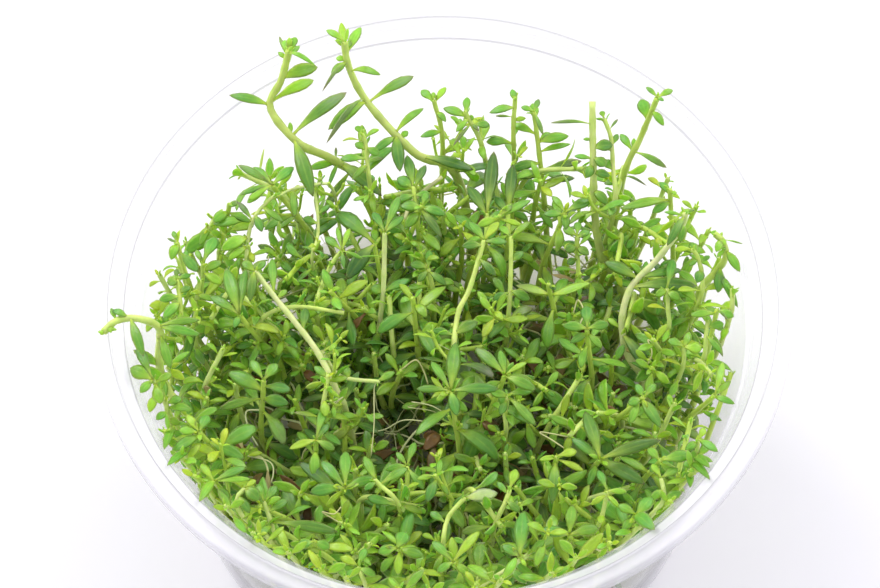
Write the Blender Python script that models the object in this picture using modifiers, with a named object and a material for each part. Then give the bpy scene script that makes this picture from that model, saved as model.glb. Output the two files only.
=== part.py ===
"""Young ludwigia plants standing in a clear, open plastic cup.

Every sprig roots on a disc of pale jelly in the bottom of the cup. A sprig is one piece: a stem
with pairs of leaves that grow from its flat sides, each pair turned a quarter from the last.
The origin is the middle of the cup's foot, and +Z is up.
"""

import math
import random

import bmesh
import bpy
from mathutils import Vector
from mathutils.bvhtree import BVHTree

MM = 0.001
GAP = 0.3 * MM  # left between touching pieces

# The cup
CUP_HEIGHT = 55 * MM
RIM_RADIUS = 52 * MM
RIM_INNER_RADIUS = 49.5 * MM
LEDGE_RADIUS = 47.5 * MM
LEDGE_DROP = 2.9 * MM
SHOULDER_RADIUS = 46.1 * MM
SHOULDER_DROP = 7.5 * MM
SHOULDER_STEP = 0.7 * MM
SKIRT_DROP = 2.6 * MM
WALL = 0.9 * MM
FLOOR_TOP = 2.0 * MM
FLOOR_INNER_RADIUS = 39.0 * MM
CORNER = 2.0 * MM
FOOT_WIDTH = 3.0 * MM
FOOT_RISE = 0.8 * MM
CUP_SEGMENTS = 40

# The jelly
GEL_DEPTH = 8.0 * MM
GEL_SEGMENTS = 32
GEL_CROWN = 0.4 * MM  # how far its middle stands above its edge

# The sprigs
STEM_RADIUS_FOOT = 0.75 * MM
STEM_RADIUS_TIP = 0.45 * MM
NODE_HALF_LENGTH = 0.45 * MM
NODE_SPACING = 4.6 * MM
FIRST_NODE = 0.9 * MM  # from the tip down to the first pair of leaves
LEAF_THICKNESS = 0.42 * MM
LEAF_WIDTH_SHARE = 0.27  # of its length
LEAF_WIDEST = 0.55  # of its length, from the stem
LEAF_SHORTEST = 2.2 * MM
LEAF_CLEARANCE = 0.36 * MM
LEAF_TRIES = 9
SEED = 11

# Sprigs with a path of their own: the foot's x and y, then points up to the tip, in millimetres,
# then the number of leaf pairs and the length of a full leaf.
LONG_SPRIGS = {
    "back_left_outer": (
        [(-6, 20), (-11.5, 30, 34), (-16.6, 31.2, 43), (-21.9, 31.3, 48), (-26.4, 35, 52),
         (-24.5, 37.3, 56), (-23, 39.5, 61)], 5, 8.0),
    "back_left_inner": (
        [(6, 21), (2.8, 31, 36), (-4.1, 31.5, 44), (-10.9, 36.3, 51), (-13.6, 38.9, 57),
         (-14.2, 41, 61)], 5, 8.0),
    "back_1": ([(-1, 28), (0.3, 34.5, 40), (-1, 38.6, 48)], 3, 5.0),
    "back_2": ([(10, 24), (7, 32.3, 40), (3.8, 36.8, 47.5)], 3, 5.0),
    "back_3": ([(13.5, 27), (11.5, 33, 42), (11.7, 37.6, 50)], 3, 5.5),
    "back_4": ([(18, 20), (16.3, 28, 35), (14.6, 35.5, 49)], 4, 6.0),
    "tall_cut": (
        [(30, 9), (28.2, 15, 30), (25.3, 17.2, 34), (23.9, 21.5, 40.5), (23.5, 27.5, 48.5),
         (23.4, 34, 54)], 4, 5.5),
    "right_back": ([(26, 21), (28.3, 27.5, 40), (31.1, 31.2, 48), (33.2, 32.6, 57)], 5, 5.0),
    "right_bent": (
        [(29, -16), (31.4, -5, 30), (28.2, -0.4, 36), (27.4, 3.4, 40), (28.8, 7.3, 43),
         (32.4, 10, 46), (36.2, 13.6, 49.5), (37, 15.4, 51.5)], 5, 6.0),
    "right_curled": (
        [(35, 3), (39.1, 7.7, 38), (41.7, 9, 44), (42.9, 9.2, 48), (42.5, 10.3, 51),
         (41.1, 11.5, 51.8)], 4, 5.0),
    "pale_upright": ([(-12, -4), (-9.9, 4, 36), (-9.1, 7.6, 42), (-8.7, 14, 49)], 4, 6.0),
    "pale_slanting": (
        [(-12, -18), (-14.5, -12.5, 38), (-16.1, -10.3, 44), (-19.1, -4.5, 46),
         (-24.9, 2.5, 49), (-28.2, 6.4, 51)], 5, 5.5),
    "over_the_rim": (
        [(-33, -15), (-38, -11.8, 36), (-41.5, -9.4, 43), (-42.4, -7, 48), (-41.9, -4.5, 53),
         (-44.3, -4.8, 56.8), (-47.5, -5.2, 57.4), (-49.8, -7, 56.8)], 6, 6.0),
    "centre_leaning": (
        [(4, -12), (1.6, -8, 41), (2.1, 0.8, 45.5), (4.1, 5.2, 47), (6.4, 11.9, 50)], 5, 6.5),
    "left_back": ([(-32, 2), (-38.2, 7.2, 43), (-40, 11, 52)], 5, 6.5),
}

# Short sprigs of the canopy: the foot's x and y, the tip's x, y and z, and the length of a full leaf.
SHORT_SPRIGS = [
    ((-11, -20), (-14.6, -27.4, 46), 7.5),
    ((17, -4), (21.6, -2, 47), 6.0),
    ((22, -12), (29.7, -13.1, 46), 6.5),
    ((18, -19), (22.8, -23.3, 46), 7.5),
    ((9, -6), (9.1, -10.2, 48), 7.5),
    ((15, -28), (17.8, -36, 47.5), 6.5),
    ((6, -31), (10.5, -40, 49), 6.0),
    ((-19, -13), (-19, -19.1, 45), 6.5),
    ((-22, -24), (-27, -31, 48), 6.5),
    ((-24, -6), (-26.7, -10.5, 48), 6.5),
    ((-29, -21), (-35.8, -20, 50), 6.5),
    ((-27, -27), (-33.5, -27.5, 49), 6.0),
    ((-6, -30), (-7, -38.5, 49), 6.5),
    ((-20, 18), (-26, 23, 48.5), 6.5),
    ((-27, 11), (-32.5, 19.5, 49), 6.5),
    ((-2, 16), (-3, 20, 47), 7.0),
    ((8, 13), (9, 17.5, 48), 7.0),
    ((17, 12), (19, 19, 46), 6.5),
    ((34, 14), (35, 20.5, 50), 6.0),
    ((36, -3), (41.2, 0.5, 48), 5.5),
    ((35, -12), (40, -14, 48), 5.5),
    ((27, -22), (31.5, -25, 49), 6.0),
    ((12, -18), (16.5, -22.5, 45.5), 6.0),
    ((0, -17), (1, -12.5, 47.5), 8.0),
    ((-3, -24), (-1.5, -26, 47), 7.0),
    ((-15, -31), (-19, -37, 48.5), 6.0),
    ((23, -30), (27.5, -33.5, 48.5), 6.0),
    ((-27, 1), (-30.5, 0, 49), 6.0),
    ((-15, 5), (-17, 5, 47), 7.0),
    ((-4, 2), (-4.5, 3.5, 47.5), 7.0),
    ((14, 3), (16, 5.5, 47.5), 7.0),
    ((0, -34), (1, -40.5, 48.5), 6.0),
]
SHORT_PAIRS = 4
SHORT_BOW = 0.16  # how far a short stem stands off the straight line, as a share of its length

COLOURS = {
    "cup": (0.93, 0.95, 0.96),
    "jelly": (0.86, 0.84, 0.72),
    "sprig": (0.20, 0.42, 0.06),
}


def clear_scene():
    for thing in list(bpy.data.objects):
        bpy.data.objects.remove(thing)


def make_material(name, roughness, alpha=1.0):
    material = bpy.data.materials.new(name)
    material.use_nodes = True
    shader = material.node_tree.nodes["Principled BSDF"]
    shader.inputs["Base Color"].default_value = (*COLOURS[name], 1)
    shader.inputs["Roughness"].default_value = roughness
    shader.inputs["Metallic"].default_value = 0.0
    shader.inputs["Alpha"].default_value = alpha
    return material


def turned(name, profile, segments, material, collection):
    """A solid of revolution. The profile runs from the axis over the top and down the outer side."""
    mesh = bpy.data.meshes.new(name)
    points = [(radius, 0, height) for radius, height in profile]
    mesh.from_pydata(points, [(i, i + 1) for i in range(len(points) - 1)], [])
    piece = bpy.data.objects.new(name, mesh)
    collection.objects.link(piece)
    screw = piece.modifiers.new("turn", "SCREW")
    screw.axis = "Z"
    screw.steps = segments
    screw.render_steps = segments
    screw.use_merge_vertices = True
    screw.merge_threshold = 0.00005
    screw.use_smooth_shade = True
    mesh.materials.append(material)
    return piece


def inner_wall_radius(z):
    """The cup's inner radius at height z, above the corner and below the ledge."""
    shoulder = CUP_HEIGHT - SHOULDER_DROP
    foot = FLOOR_TOP + CORNER
    if z < shoulder:
        low, high = FLOOR_INNER_RADIUS + 0.6 * CORNER, SHOULDER_RADIUS - SHOULDER_STEP
        return low + (high - low) * max(0.0, z - foot) / (shoulder - foot)
    return SHOULDER_RADIUS


def make_cup(collection):
    top = CUP_HEIGHT
    shoulder = top - SHOULDER_DROP
    ledge = top - LEDGE_DROP
    wall_foot = FLOOR_TOP + CORNER
    wall_foot_radius = inner_wall_radius(wall_foot)
    inside = [
        (0, FLOOR_TOP),
        (FLOOR_INNER_RADIUS - 0.4 * CORNER, FLOOR_TOP),
        (wall_foot_radius, wall_foot),
        (SHOULDER_RADIUS - SHOULDER_STEP, shoulder),
        (SHOULDER_RADIUS, shoulder + 0.3 * MM),
        (LEDGE_RADIUS, ledge),
        (RIM_INNER_RADIUS - 0.3 * MM, ledge + 0.2 * MM),
        (RIM_INNER_RADIUS, top - 0.2 * MM),
    ]
    rim = [
        (RIM_INNER_RADIUS + 0.5 * MM, top),
        (RIM_RADIUS - 0.5 * MM, top - 0.1 * MM),
        (RIM_RADIUS, top - 0.6 * MM),
        (RIM_RADIUS, top - SKIRT_DROP),
        (RIM_RADIUS - 0.7 * MM, top - SKIRT_DROP),
        (RIM_RADIUS - 0.8 * MM, top - WALL),
        (RIM_INNER_RADIUS + 0.7 * MM, top - WALL),
    ]
    outside = [
        (RIM_INNER_RADIUS + 0.4 * MM, ledge - WALL),
        (LEDGE_RADIUS + 0.8 * WALL, ledge - 1.1 * WALL),
        (SHOULDER_RADIUS + 0.9 * WALL, shoulder - 0.9 * WALL),
        (wall_foot_radius + WALL, wall_foot),
        (FLOOR_INNER_RADIUS - 0.2 * CORNER, 0),
        (FLOOR_INNER_RADIUS - 0.2 * CORNER - FOOT_WIDTH, 0),
        (FLOOR_INNER_RADIUS - 0.2 * CORNER - FOOT_WIDTH - 0.8 * MM, FOOT_RISE),
        (0, FOOT_RISE),
    ]
    material = make_material("cup", 0.08, alpha=0.35)
    return turned("cup", inside + rim + outside, CUP_SEGMENTS, material, collection)


def gel_top():
    return FLOOR_TOP + GAP + GEL_DEPTH


def gel_height(radius):
    """The height of the jelly's face at this distance from the axis."""
    return gel_top() + GEL_CROWN * max(0.0, 1 - radius / (1.5 * FLOOR_INNER_RADIUS))


def make_jelly(collection):
    low = FLOOR_TOP + GAP
    bevel = FLOOR_TOP + CORNER + GAP
    facet = math.cos(math.pi / CUP_SEGMENTS)  # the wall's flats stand this much closer in
    room = GAP + 0.1 * MM
    profile = [
        (0, gel_top() + GEL_CROWN),
        (0.6 * FLOOR_INNER_RADIUS, gel_height(0.6 * FLOOR_INNER_RADIUS)),
        (inner_wall_radius(gel_top()) * facet - room, gel_top()),
        (inner_wall_radius(bevel) * facet - room, bevel),
        (FLOOR_INNER_RADIUS - CORNER, low),
        (0, low),
    ]
    return turned("jelly", profile, GEL_SEGMENTS, make_material("jelly", 0.35), collection)


def smooth_path(controls):
    """Many points on a Catmull-Rom curve through the control points."""
    ends = [2 * controls[0] - controls[1], *controls, 2 * controls[-1] - controls[-2]]
    path = []
    for a, b, c, d in zip(ends, ends[1:], ends[2:], ends[3:]):
        for step in range(24):
            t = step / 24
            path.append(
                0.5 * ((2 * b) + (c - a) * t + (2 * a - 5 * b + 4 * c - d) * t * t
                       + (3 * b - a - 3 * c + d) * t * t * t))
    path.append(controls[-1])
    return path


def point_below_tip(path, distance):
    """The point this far down the path from its tip."""
    left = distance
    for upper, lower in zip(reversed(path), reversed(path[:-1])):
        step = (upper - lower).length
        if step >= left:
            return upper.lerp(lower, left / step)
        left -= step
    return path[0]


def path_length(path):
    return sum((b - a).length for a, b in zip(path, path[1:]))


def stem_foot(x, y):
    foot = Vector((x * MM, y * MM, 0))
    foot.z = gel_height(foot.length) + GAP
    return foot


def long_controls(points):
    return [stem_foot(*points[0])] + [Vector(point) * MM for point in points[1:]]


def short_controls(foot, tip, draw):
    """A foot, a bowed middle and a tip."""
    start = stem_foot(*foot)
    end = Vector(tip) * MM
    side = draw.uniform(0, 2 * math.pi)
    bow = SHORT_BOW * (end - start).length * draw.uniform(0.3, 1.0)
    middle = start.lerp(end, 0.5) + Vector((math.cos(side), math.sin(side), 0)) * bow
    limit = inner_wall_radius(middle.z) - 4 * MM
    if middle.xy.length > limit:
        middle.xy = middle.xy * (limit / middle.xy.length)
    return [start, middle, end]


def node_distances(pairs, length):
    """How far below the tip each pair of leaves stands. Pairs crowd together near the tip."""
    spacing = min(NODE_SPACING, 0.8 * length / max(1, pairs - 1))
    return [FIRST_NODE + spacing * (i ** 1.12) for i in range(pairs)]


def make_stem(name, path, distances):
    """A four-sided tapering tube with a short ring at each pair of leaves, as a mesh."""
    length = path_length(path)
    below = {length, 0.0}
    for distance in distances:
        below |= {distance - NODE_HALF_LENGTH, distance + NODE_HALF_LENGTH}
    lowest = max(distances)
    if length - lowest > 2 * NODE_SPACING:
        below.add((length + lowest) / 2)
    below = sorted(below, reverse=True)
    curve = bpy.data.curves.new(name, "CURVE")
    curve.dimensions = "3D"
    curve.bevel_depth = STEM_RADIUS_FOOT
    curve.bevel_resolution = 0
    curve.use_fill_caps = True
    spline = curve.splines.new("POLY")
    spline.points.add(len(below) - 1)
    for point, distance in zip(spline.points, below):
        point.co = (*point_below_tip(path, distance), 1)
        share = distance / length
        point.radius = share + (1 - share) * STEM_RADIUS_TIP / STEM_RADIUS_FOOT
    drawn = bpy.data.objects.new(name, curve)
    bpy.context.scene.collection.objects.link(drawn)
    graph = bpy.context.evaluated_depsgraph_get()
    mesh = bpy.data.meshes.new_from_object(drawn.evaluated_get(graph))
    bpy.data.objects.remove(drawn)
    bpy.data.curves.remove(curve)
    shape = bmesh.new()
    shape.from_mesh(mesh)
    bpy.data.meshes.remove(mesh)
    bmesh.ops.remove_doubles(shape, verts=shape.verts, dist=0.01 * MM)
    bmesh.ops.recalc_face_normals(shape, faces=shape.faces)
    lowest = sorted(shape.verts, key=lambda corner: (corner.co - path[0]).length)[:4]
    for corner in lowest:
        corner.co.z = gel_height(path[0].xy.length) + GAP + 0.05 * MM
    return shape


def facets(shape):
    """A mesh as the two lists that a search tree takes."""
    shape.verts.index_update()
    return [v.co.copy() for v in shape.verts], [[v.index for v in f.verts] for f in shape.faces]


def merged_tree(groups):
    points, faces = [], []
    for group_points, group_faces in groups:
        start = len(points)
        points += group_points
        faces += [[start + i for i in face] for face in group_faces]
    return BVHTree.FromPolygons(points, faces)


class Leaf:
    """Where one leaf stands: its root on the stem, its broadest section and its point."""

    def __init__(self, root, along, outward, length, pitch, yaw):
        across = along.cross(outward).normalized()
        lean = outward * math.cos(yaw) + across * math.sin(yaw)
        way = (along * math.cos(pitch) + lean * math.sin(pitch)).normalized()
        self.across = way.cross(along).normalized()
        self.over = self.across.cross(way).normalized()
        if self.over.dot(along) < 0:
            self.over = -self.over
        self.along = along
        self.root = root
        droop = Vector((0, 0, -0.16 * length * math.sin(pitch)))
        self.middle = root + way * length * LEAF_WIDEST + self.over * length * 0.05
        self.point = root + way * length + droop
        self.half_width = 0.5 * LEAF_WIDTH_SHARE * length
        self.half_thickness = 0.5 * LEAF_THICKNESS

    def section(self, grow=0.0):
        """The four corners of the broadest section, keyed by the side and the face they are on."""
        return {
            (side, face): self.middle + self.across * side * (self.half_width + grow)
            + self.over * face * (self.half_thickness + grow)
            for side in (-1, 1) for face in (-1, 1)
        }

    def body(self, grow=0.0):
        """The leaf from a little way out of the stem to its point, larger by grow all round."""
        corners = self.section(grow)
        ring = [(-1, -1), (1, -1), (1, 1), (-1, 1)]
        near = self.root.lerp(self.middle, 0.4 if grow else 0.1)
        neck = [near + (corners[key] - self.middle) * 0.5 for key in ring]
        end = self.point + (self.point - self.middle).normalized() * 2 * grow
        points = neck + [corners[key] for key in ring] + [end]
        faces = [[i, (i + 1) % 4, 4 + (i + 1) % 4, 4 + i] for i in range(4)]
        faces += [[4 + i, 4 + (i + 1) % 4, 8] for i in range(4)] + [[3, 2, 1, 0]]
        return points, faces

    def inside_cup(self):
        """Whether the leaf keeps off the wall, the rim and the jelly."""
        for point in [*self.section(LEAF_CLEARANCE).values(), self.point]:
            if point.z < gel_top() + 1.5 * MM:
                return False
            if point.z < CUP_HEIGHT + 0.8 * MM:
                limit = inner_wall_radius(point.z) * math.cos(math.pi / CUP_SEGMENTS) - 0.5 * MM
                if point.xy.length > limit:
                    return False
            elif point.xy.length > RIM_RADIUS - 0.5 * MM:
                return False
        return True


def grow_leaf(shape, face, leaf):
    """Pulls one of the stem's side faces out into a leaf."""
    centre = face.calc_center_median()
    grown = bmesh.ops.extrude_discrete_faces(shape, faces=[face])["faces"][0]
    section = leaf.section()
    for corner in grown.verts:
        offset = corner.co - centre
        side = 1 if offset.dot(leaf.across) > 0 else -1
        upper = 1 if offset.dot(leaf.along) > 0 else -1
        corner.co = section[(side, upper)]
    fan = bmesh.ops.poke(shape, faces=[grown])
    fan["verts"][0].co = leaf.point


def side_face(shape, centre, outward):
    """The short side face of the stem nearest the centre that looks outward."""
    def score(face):
        middle = face.calc_center_median()
        return (middle - centre - outward * STEM_RADIUS_TIP).length
    sides = [f for f in shape.faces if len(f.verts) == 4 and f.normal.dot(outward) > 0.6]
    return min(sides, key=score) if sides else None


def settle_leaf(shape, centre, along, outward, length, pitch, draw, trees):
    """The first leaf, of several tried, that touches nothing, with the face it grows from."""
    face = side_face(shape, centre, outward)
    if face is None or (face.calc_center_median() - centre).length > 1.6 * MM:
        return None, None
    root = face.calc_center_median()
    for attempt in range(LEAF_TRIES):
        shrink = 0.93 ** attempt
        yaw = draw.uniform(-0.12, 0.12) * (1 + attempt)
        rise = pitch * (1 - 0.05 * attempt)
        leaf = Leaf(root, along, face.normal.copy(), max(LEAF_SHORTEST, length * shrink), rise, yaw)
        if not leaf.inside_cup():
            continue
        own = BVHTree.FromPolygons(*leaf.body(LEAF_CLEARANCE))
        if not any(own.overlap(tree) for tree in trees):
            return leaf, face
    return None, None


def add_leaves(shape, path, distances, leaf_length, others, draw):
    """Grows a pair of leaves at each node, from the tip down. Returns the space that they take."""
    taken = []
    stem = merged_tree([facets(shape)])
    roll = draw.uniform(0, math.pi)
    for order, distance in enumerate(distances):
        centre = point_below_tip(path, distance)
        above = point_below_tip(path, max(0.0, distance - 0.5 * MM))
        below = point_below_tip(path, distance + 0.5 * MM)
        along = (above - below).normalized()
        flat = along.orthogonal().normalized()
        turn = roll + order * math.pi / 2
        first = flat * math.cos(turn) + along.cross(flat) * math.sin(turn)
        grown_share = min(1.0, 0.55 + 0.22 * order)
        pitch = math.radians(min(78, 34 + 15 * order))
        for outward in (first, -first):
            length = leaf_length * MM * grown_share * draw.uniform(0.88, 1.08)
            trees = [others, stem] + ([merged_tree(taken)] if taken else [])
            face = side_face(shape, centre, outward)
            if face is None:
                continue
            leaf, face = settle_leaf(shape, centre, along, face.normal.copy(), length, pitch,
                                     draw, trees)
            if leaf is not None:
                taken.append(leaf.body())
                grow_leaf(shape, face, leaf)
    return taken


def sprig_plans(draw):
    """Each sprig's name, path, number of leaf pairs and leaf length."""
    plans = []
    for name, (points, pairs, leaf_length) in LONG_SPRIGS.items():
        plans.append(("sprig_" + name, smooth_path(long_controls(points)), pairs, leaf_length))
    for number, (foot, tip, leaf_length) in enumerate(SHORT_SPRIGS, 1):
        path = smooth_path(short_controls(foot, tip, draw))
        plans.append((f"sprig_{number:02d}", path, SHORT_PAIRS, leaf_length))
    return plans


def make_sprigs(collection):
    draw = random.Random(SEED)
    material = make_material("sprig", 0.45)
    plans = sprig_plans(draw)
    stems, spacings = {}, {}
    for name, path, pairs, _ in plans:
        spacings[name] = node_distances(pairs, path_length(path))
        stems[name] = make_stem(name, path, spacings[name])
    bare = {name: facets(shape) for name, shape in stems.items()}
    leaves = []
    for name, path, _, leaf_length in plans:
        others = merged_tree([b for other, b in bare.items() if other != name] + leaves)
        shape = stems[name]
        leaves += add_leaves(shape, path, spacings[name], leaf_length, others, draw)
        bmesh.ops.recalc_face_normals(shape, faces=shape.faces)
        mesh = bpy.data.meshes.new(name)
        shape.to_mesh(mesh)
        shape.free()
        mesh.materials.append(material)
        collection.objects.link(bpy.data.objects.new(name, mesh))


def main():
    clear_scene()
    collection = bpy.data.collections.new("ludwigia_cup")
    bpy.context.scene.collection.children.link(collection)
    make_cup(collection)
    make_jelly(collection)
    make_sprigs(collection)


main()
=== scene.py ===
"""Dresses the cup of young ludwigia: leafy sprigs, roots, jelly and the clear cup, with a stage."""

import functools
import math
import random

import bpy
import numpy as np
from bpy.props import FloatProperty, FloatVectorProperty, IntProperty, PointerProperty
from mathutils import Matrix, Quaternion, Vector


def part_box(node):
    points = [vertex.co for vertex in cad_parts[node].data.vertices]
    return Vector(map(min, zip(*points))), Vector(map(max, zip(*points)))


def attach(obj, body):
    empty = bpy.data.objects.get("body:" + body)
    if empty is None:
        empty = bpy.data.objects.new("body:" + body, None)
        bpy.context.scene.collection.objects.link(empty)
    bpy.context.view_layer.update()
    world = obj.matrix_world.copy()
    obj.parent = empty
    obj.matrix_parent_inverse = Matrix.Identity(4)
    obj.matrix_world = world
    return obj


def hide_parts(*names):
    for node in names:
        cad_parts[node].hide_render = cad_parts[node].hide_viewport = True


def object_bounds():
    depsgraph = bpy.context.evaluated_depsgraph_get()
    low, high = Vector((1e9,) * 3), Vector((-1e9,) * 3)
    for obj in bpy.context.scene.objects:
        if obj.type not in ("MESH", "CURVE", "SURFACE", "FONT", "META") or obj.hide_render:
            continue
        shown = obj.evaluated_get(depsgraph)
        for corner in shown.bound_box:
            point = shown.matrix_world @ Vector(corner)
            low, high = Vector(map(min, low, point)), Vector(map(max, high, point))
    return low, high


bl_info = {
    "name": "Ludwigia Cup",
    "version": (1, 0, 0),
    "blender": (4, 5, 0),
    "location": "View3D > Sidebar > Ludwigia",
    "description": "Grows the leaves of young water plants in a clear cup",
    "category": "Object",
}

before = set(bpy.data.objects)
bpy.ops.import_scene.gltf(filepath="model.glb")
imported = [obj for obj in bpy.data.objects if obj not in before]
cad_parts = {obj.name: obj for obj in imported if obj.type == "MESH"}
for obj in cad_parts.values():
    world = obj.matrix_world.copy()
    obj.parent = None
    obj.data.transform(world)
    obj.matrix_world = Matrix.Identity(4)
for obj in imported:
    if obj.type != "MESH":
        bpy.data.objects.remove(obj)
CAD_BOX = [list(corner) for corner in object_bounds()]
CUP_BOX = [list(corner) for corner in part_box("cup")]
JELLY_BOX = [list(corner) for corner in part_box("jelly")]
MM = 0.001

# The picture's width and height in points, the camera's sensor in millimetres, and how far the
# picture's middle lies from the middle of the rim, in points.
PICTURE = (880, 588)
SENSOR = 36.0
SHIFT = (2.7, -1.3)

# The same paths as the solid sprigs have: the foot's x and y, then points up to the tip, in
# millimetres, the length of a full leaf, and how pale the stem is, from 0 to 1.
LONG_SPRIGS = {
    "back_left_outer": (
        [(-6, 20), (-11.5, 30, 34), (-16.8, 30.8, 43), (-22.2, 31.0, 48), (-26.4, 35, 52),
         (-24.5, 37.3, 56), (-23, 39.5, 61)], 8.0, 0.25),
    "back_left_inner": (
        [(6, 21), (2.8, 31, 36), (-4.2, 31.4, 44), (-11.2, 36.1, 51), (-14.0, 38.8, 57),
         (-14.6, 41, 61)], 8.0, 0.35),
    "back_1": ([(-1, 28), (0.3, 34.5, 40), (-1, 38.6, 48)], 5.0, 0.2),
    "back_2": ([(10, 24), (7, 32.3, 40), (3.8, 36.8, 47.5)], 5.0, 0.3),
    "back_3": ([(13.5, 27), (11.5, 33, 42), (11.7, 37.6, 50)], 5.5, 0.2),
    "back_4": ([(18, 20), (16.3, 28, 35), (14.6, 35.5, 49)], 6.0, 0.2),
    "tall_cut": (
        [(30, 9), (28.2, 15, 30), (25.3, 17.2, 34), (23.9, 21.5, 40.5), (23.5, 27.5, 48.5),
         (23.4, 34, 54)], 5.5, 0.5),
    "right_back": ([(26, 21), (28.3, 27.5, 40), (31.1, 31.2, 48), (33.2, 32.6, 57)], 5.0, 0.2),
    "right_bent": (
        [(29, -16), (31.4, -5, 30), (28.2, -0.4, 36), (27.4, 3.4, 40), (28.8, 7.3, 43),
         (32.4, 10, 46), (36.2, 13.6, 49.5), (37, 15.4, 51.5)], 6.0, 0.95),
    "right_curled": (
        [(35, 3), (39.1, 7.7, 38), (41.7, 9, 44), (42.9, 9.2, 48), (42.5, 10.3, 51),
         (41.1, 11.5, 51.8)], 5.0, 0.3),
    "pale_upright": ([(-12, -4), (-9.9, 4, 36), (-9.1, 7.6, 42), (-8.7, 14, 49)], 6.0, 0.8),
    "pale_slanting": (
        [(-12, -18), (-14.5, -12.5, 38), (-16.1, -10.3, 44), (-19.1, -4.5, 46),
         (-24.9, 2.5, 49), (-28.2, 6.4, 51)], 5.5, 0.9),
    "over_the_rim": (
        [(-33, -15), (-38, -11.8, 36), (-41.5, -9.4, 43), (-42.4, -7, 48), (-41.9, -4.5, 53),
         (-44.3, -4.8, 56.8), (-47.5, -5.2, 57.4), (-49.8, -7, 56.8)], 6.0, 0.3),
    "centre_leaning": (
        [(4, -12), (1.6, -8, 41), (2.1, 0.8, 45.5), (4.1, 5.2, 47), (6.4, 11.9, 50)], 6.5, 0.35),
    "left_back": ([(-32, 2), (-38.2, 7.2, 43), (-40, 11, 52)], 6.5, 0.2),
}

# The foot, the tip and the length of a full leaf.
SHORT_SPRIGS = [
    ((-11, -20), (-14.6, -27.4, 46), 7.5), ((17, -4), (21.6, -2, 47), 6.0),
    ((22, -12), (29.7, -13.1, 46), 6.5), ((18, -19), (22.8, -23.3, 46), 7.5),
    ((9, -6), (9.1, -10.2, 48), 7.5), ((15, -28), (17.8, -36, 47.5), 6.5),
    ((6, -31), (10.5, -40, 49), 6.0), ((-19, -13), (-19, -19.1, 45), 6.5),
    ((-22, -24), (-27, -31, 48), 6.5), ((-24, -6), (-26.7, -10.5, 48), 6.5),
    ((-29, -21), (-35.8, -20, 50), 6.5), ((-27, -27), (-33.5, -27.5, 49), 6.0),
    ((-6, -30), (-7, -38.5, 49), 6.5), ((-20, 18), (-26, 23, 48.5), 6.5),
    ((-27, 11), (-32.5, 19.5, 49), 6.5), ((-2, 16), (-3, 20, 47), 7.0),
    ((8, 13), (9, 17.5, 48), 7.0), ((17, 12), (19, 19, 46), 6.5), ((34, 14), (35, 20.5, 50), 6.0),
    ((36, -3), (41.2, 0.5, 48), 5.5), ((35, -12), (40, -14, 48), 5.5),
    ((27, -22), (31.5, -25, 49), 6.0), ((12, -18), (16.5, -22.5, 45.5), 6.0),
    ((0, -17), (1, -12.5, 47.5), 8.0), ((-3, -24), (-1.5, -26, 47), 7.0),
    ((-15, -31), (-19, -37, 48.5), 6.0), ((23, -30), (27.5, -33.5, 48.5), 6.0),
    ((-27, 1), (-30.5, 0, 49), 6.0), ((-15, 5), (-17, 5, 47), 7.0),
    ((-4, 2), (-4.5, 3.5, 47.5), 7.0), ((14, 3), (16, 5.5, 47.5), 7.0),
    ((0, -34), (1, -40.5, 48.5), 6.0)]

# How thick some stems are beside a common one.
STOUT = {
    "back_left_outer": 1.5, "back_left_inner": 1.5, "over_the_rim": 1.45, "tall_cut": 1.4,
    "right_bent": 1.25, "left_thread": 0.6, "left_lacy": 0.6, "left_arch": 0.75, "lying": 0.8,
    "bent_cut": 0.85, "right_curled": 1.3, "pale_slanting": 1.15, "right_back": 1.2}

# How far a short sprig bows out, and the draw of the directions, as in the solids.
SHORT_BOW = 0.16
SOLID_SEED = 11

# Hollows in the mound, where roots and old leaves show: x, y, radius and depth in millimetres.
HOLLOWS = [
    (-3, -15, 7, 17), (4, -14, 5, 12), (-27, -18, 5, 12), (18, 12, 6, 13), (-16, 16, 6, 12),
    (15, 1, 5, 7), (-22, -21, 5, 8), (23, -29, 4, 6)]

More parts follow.
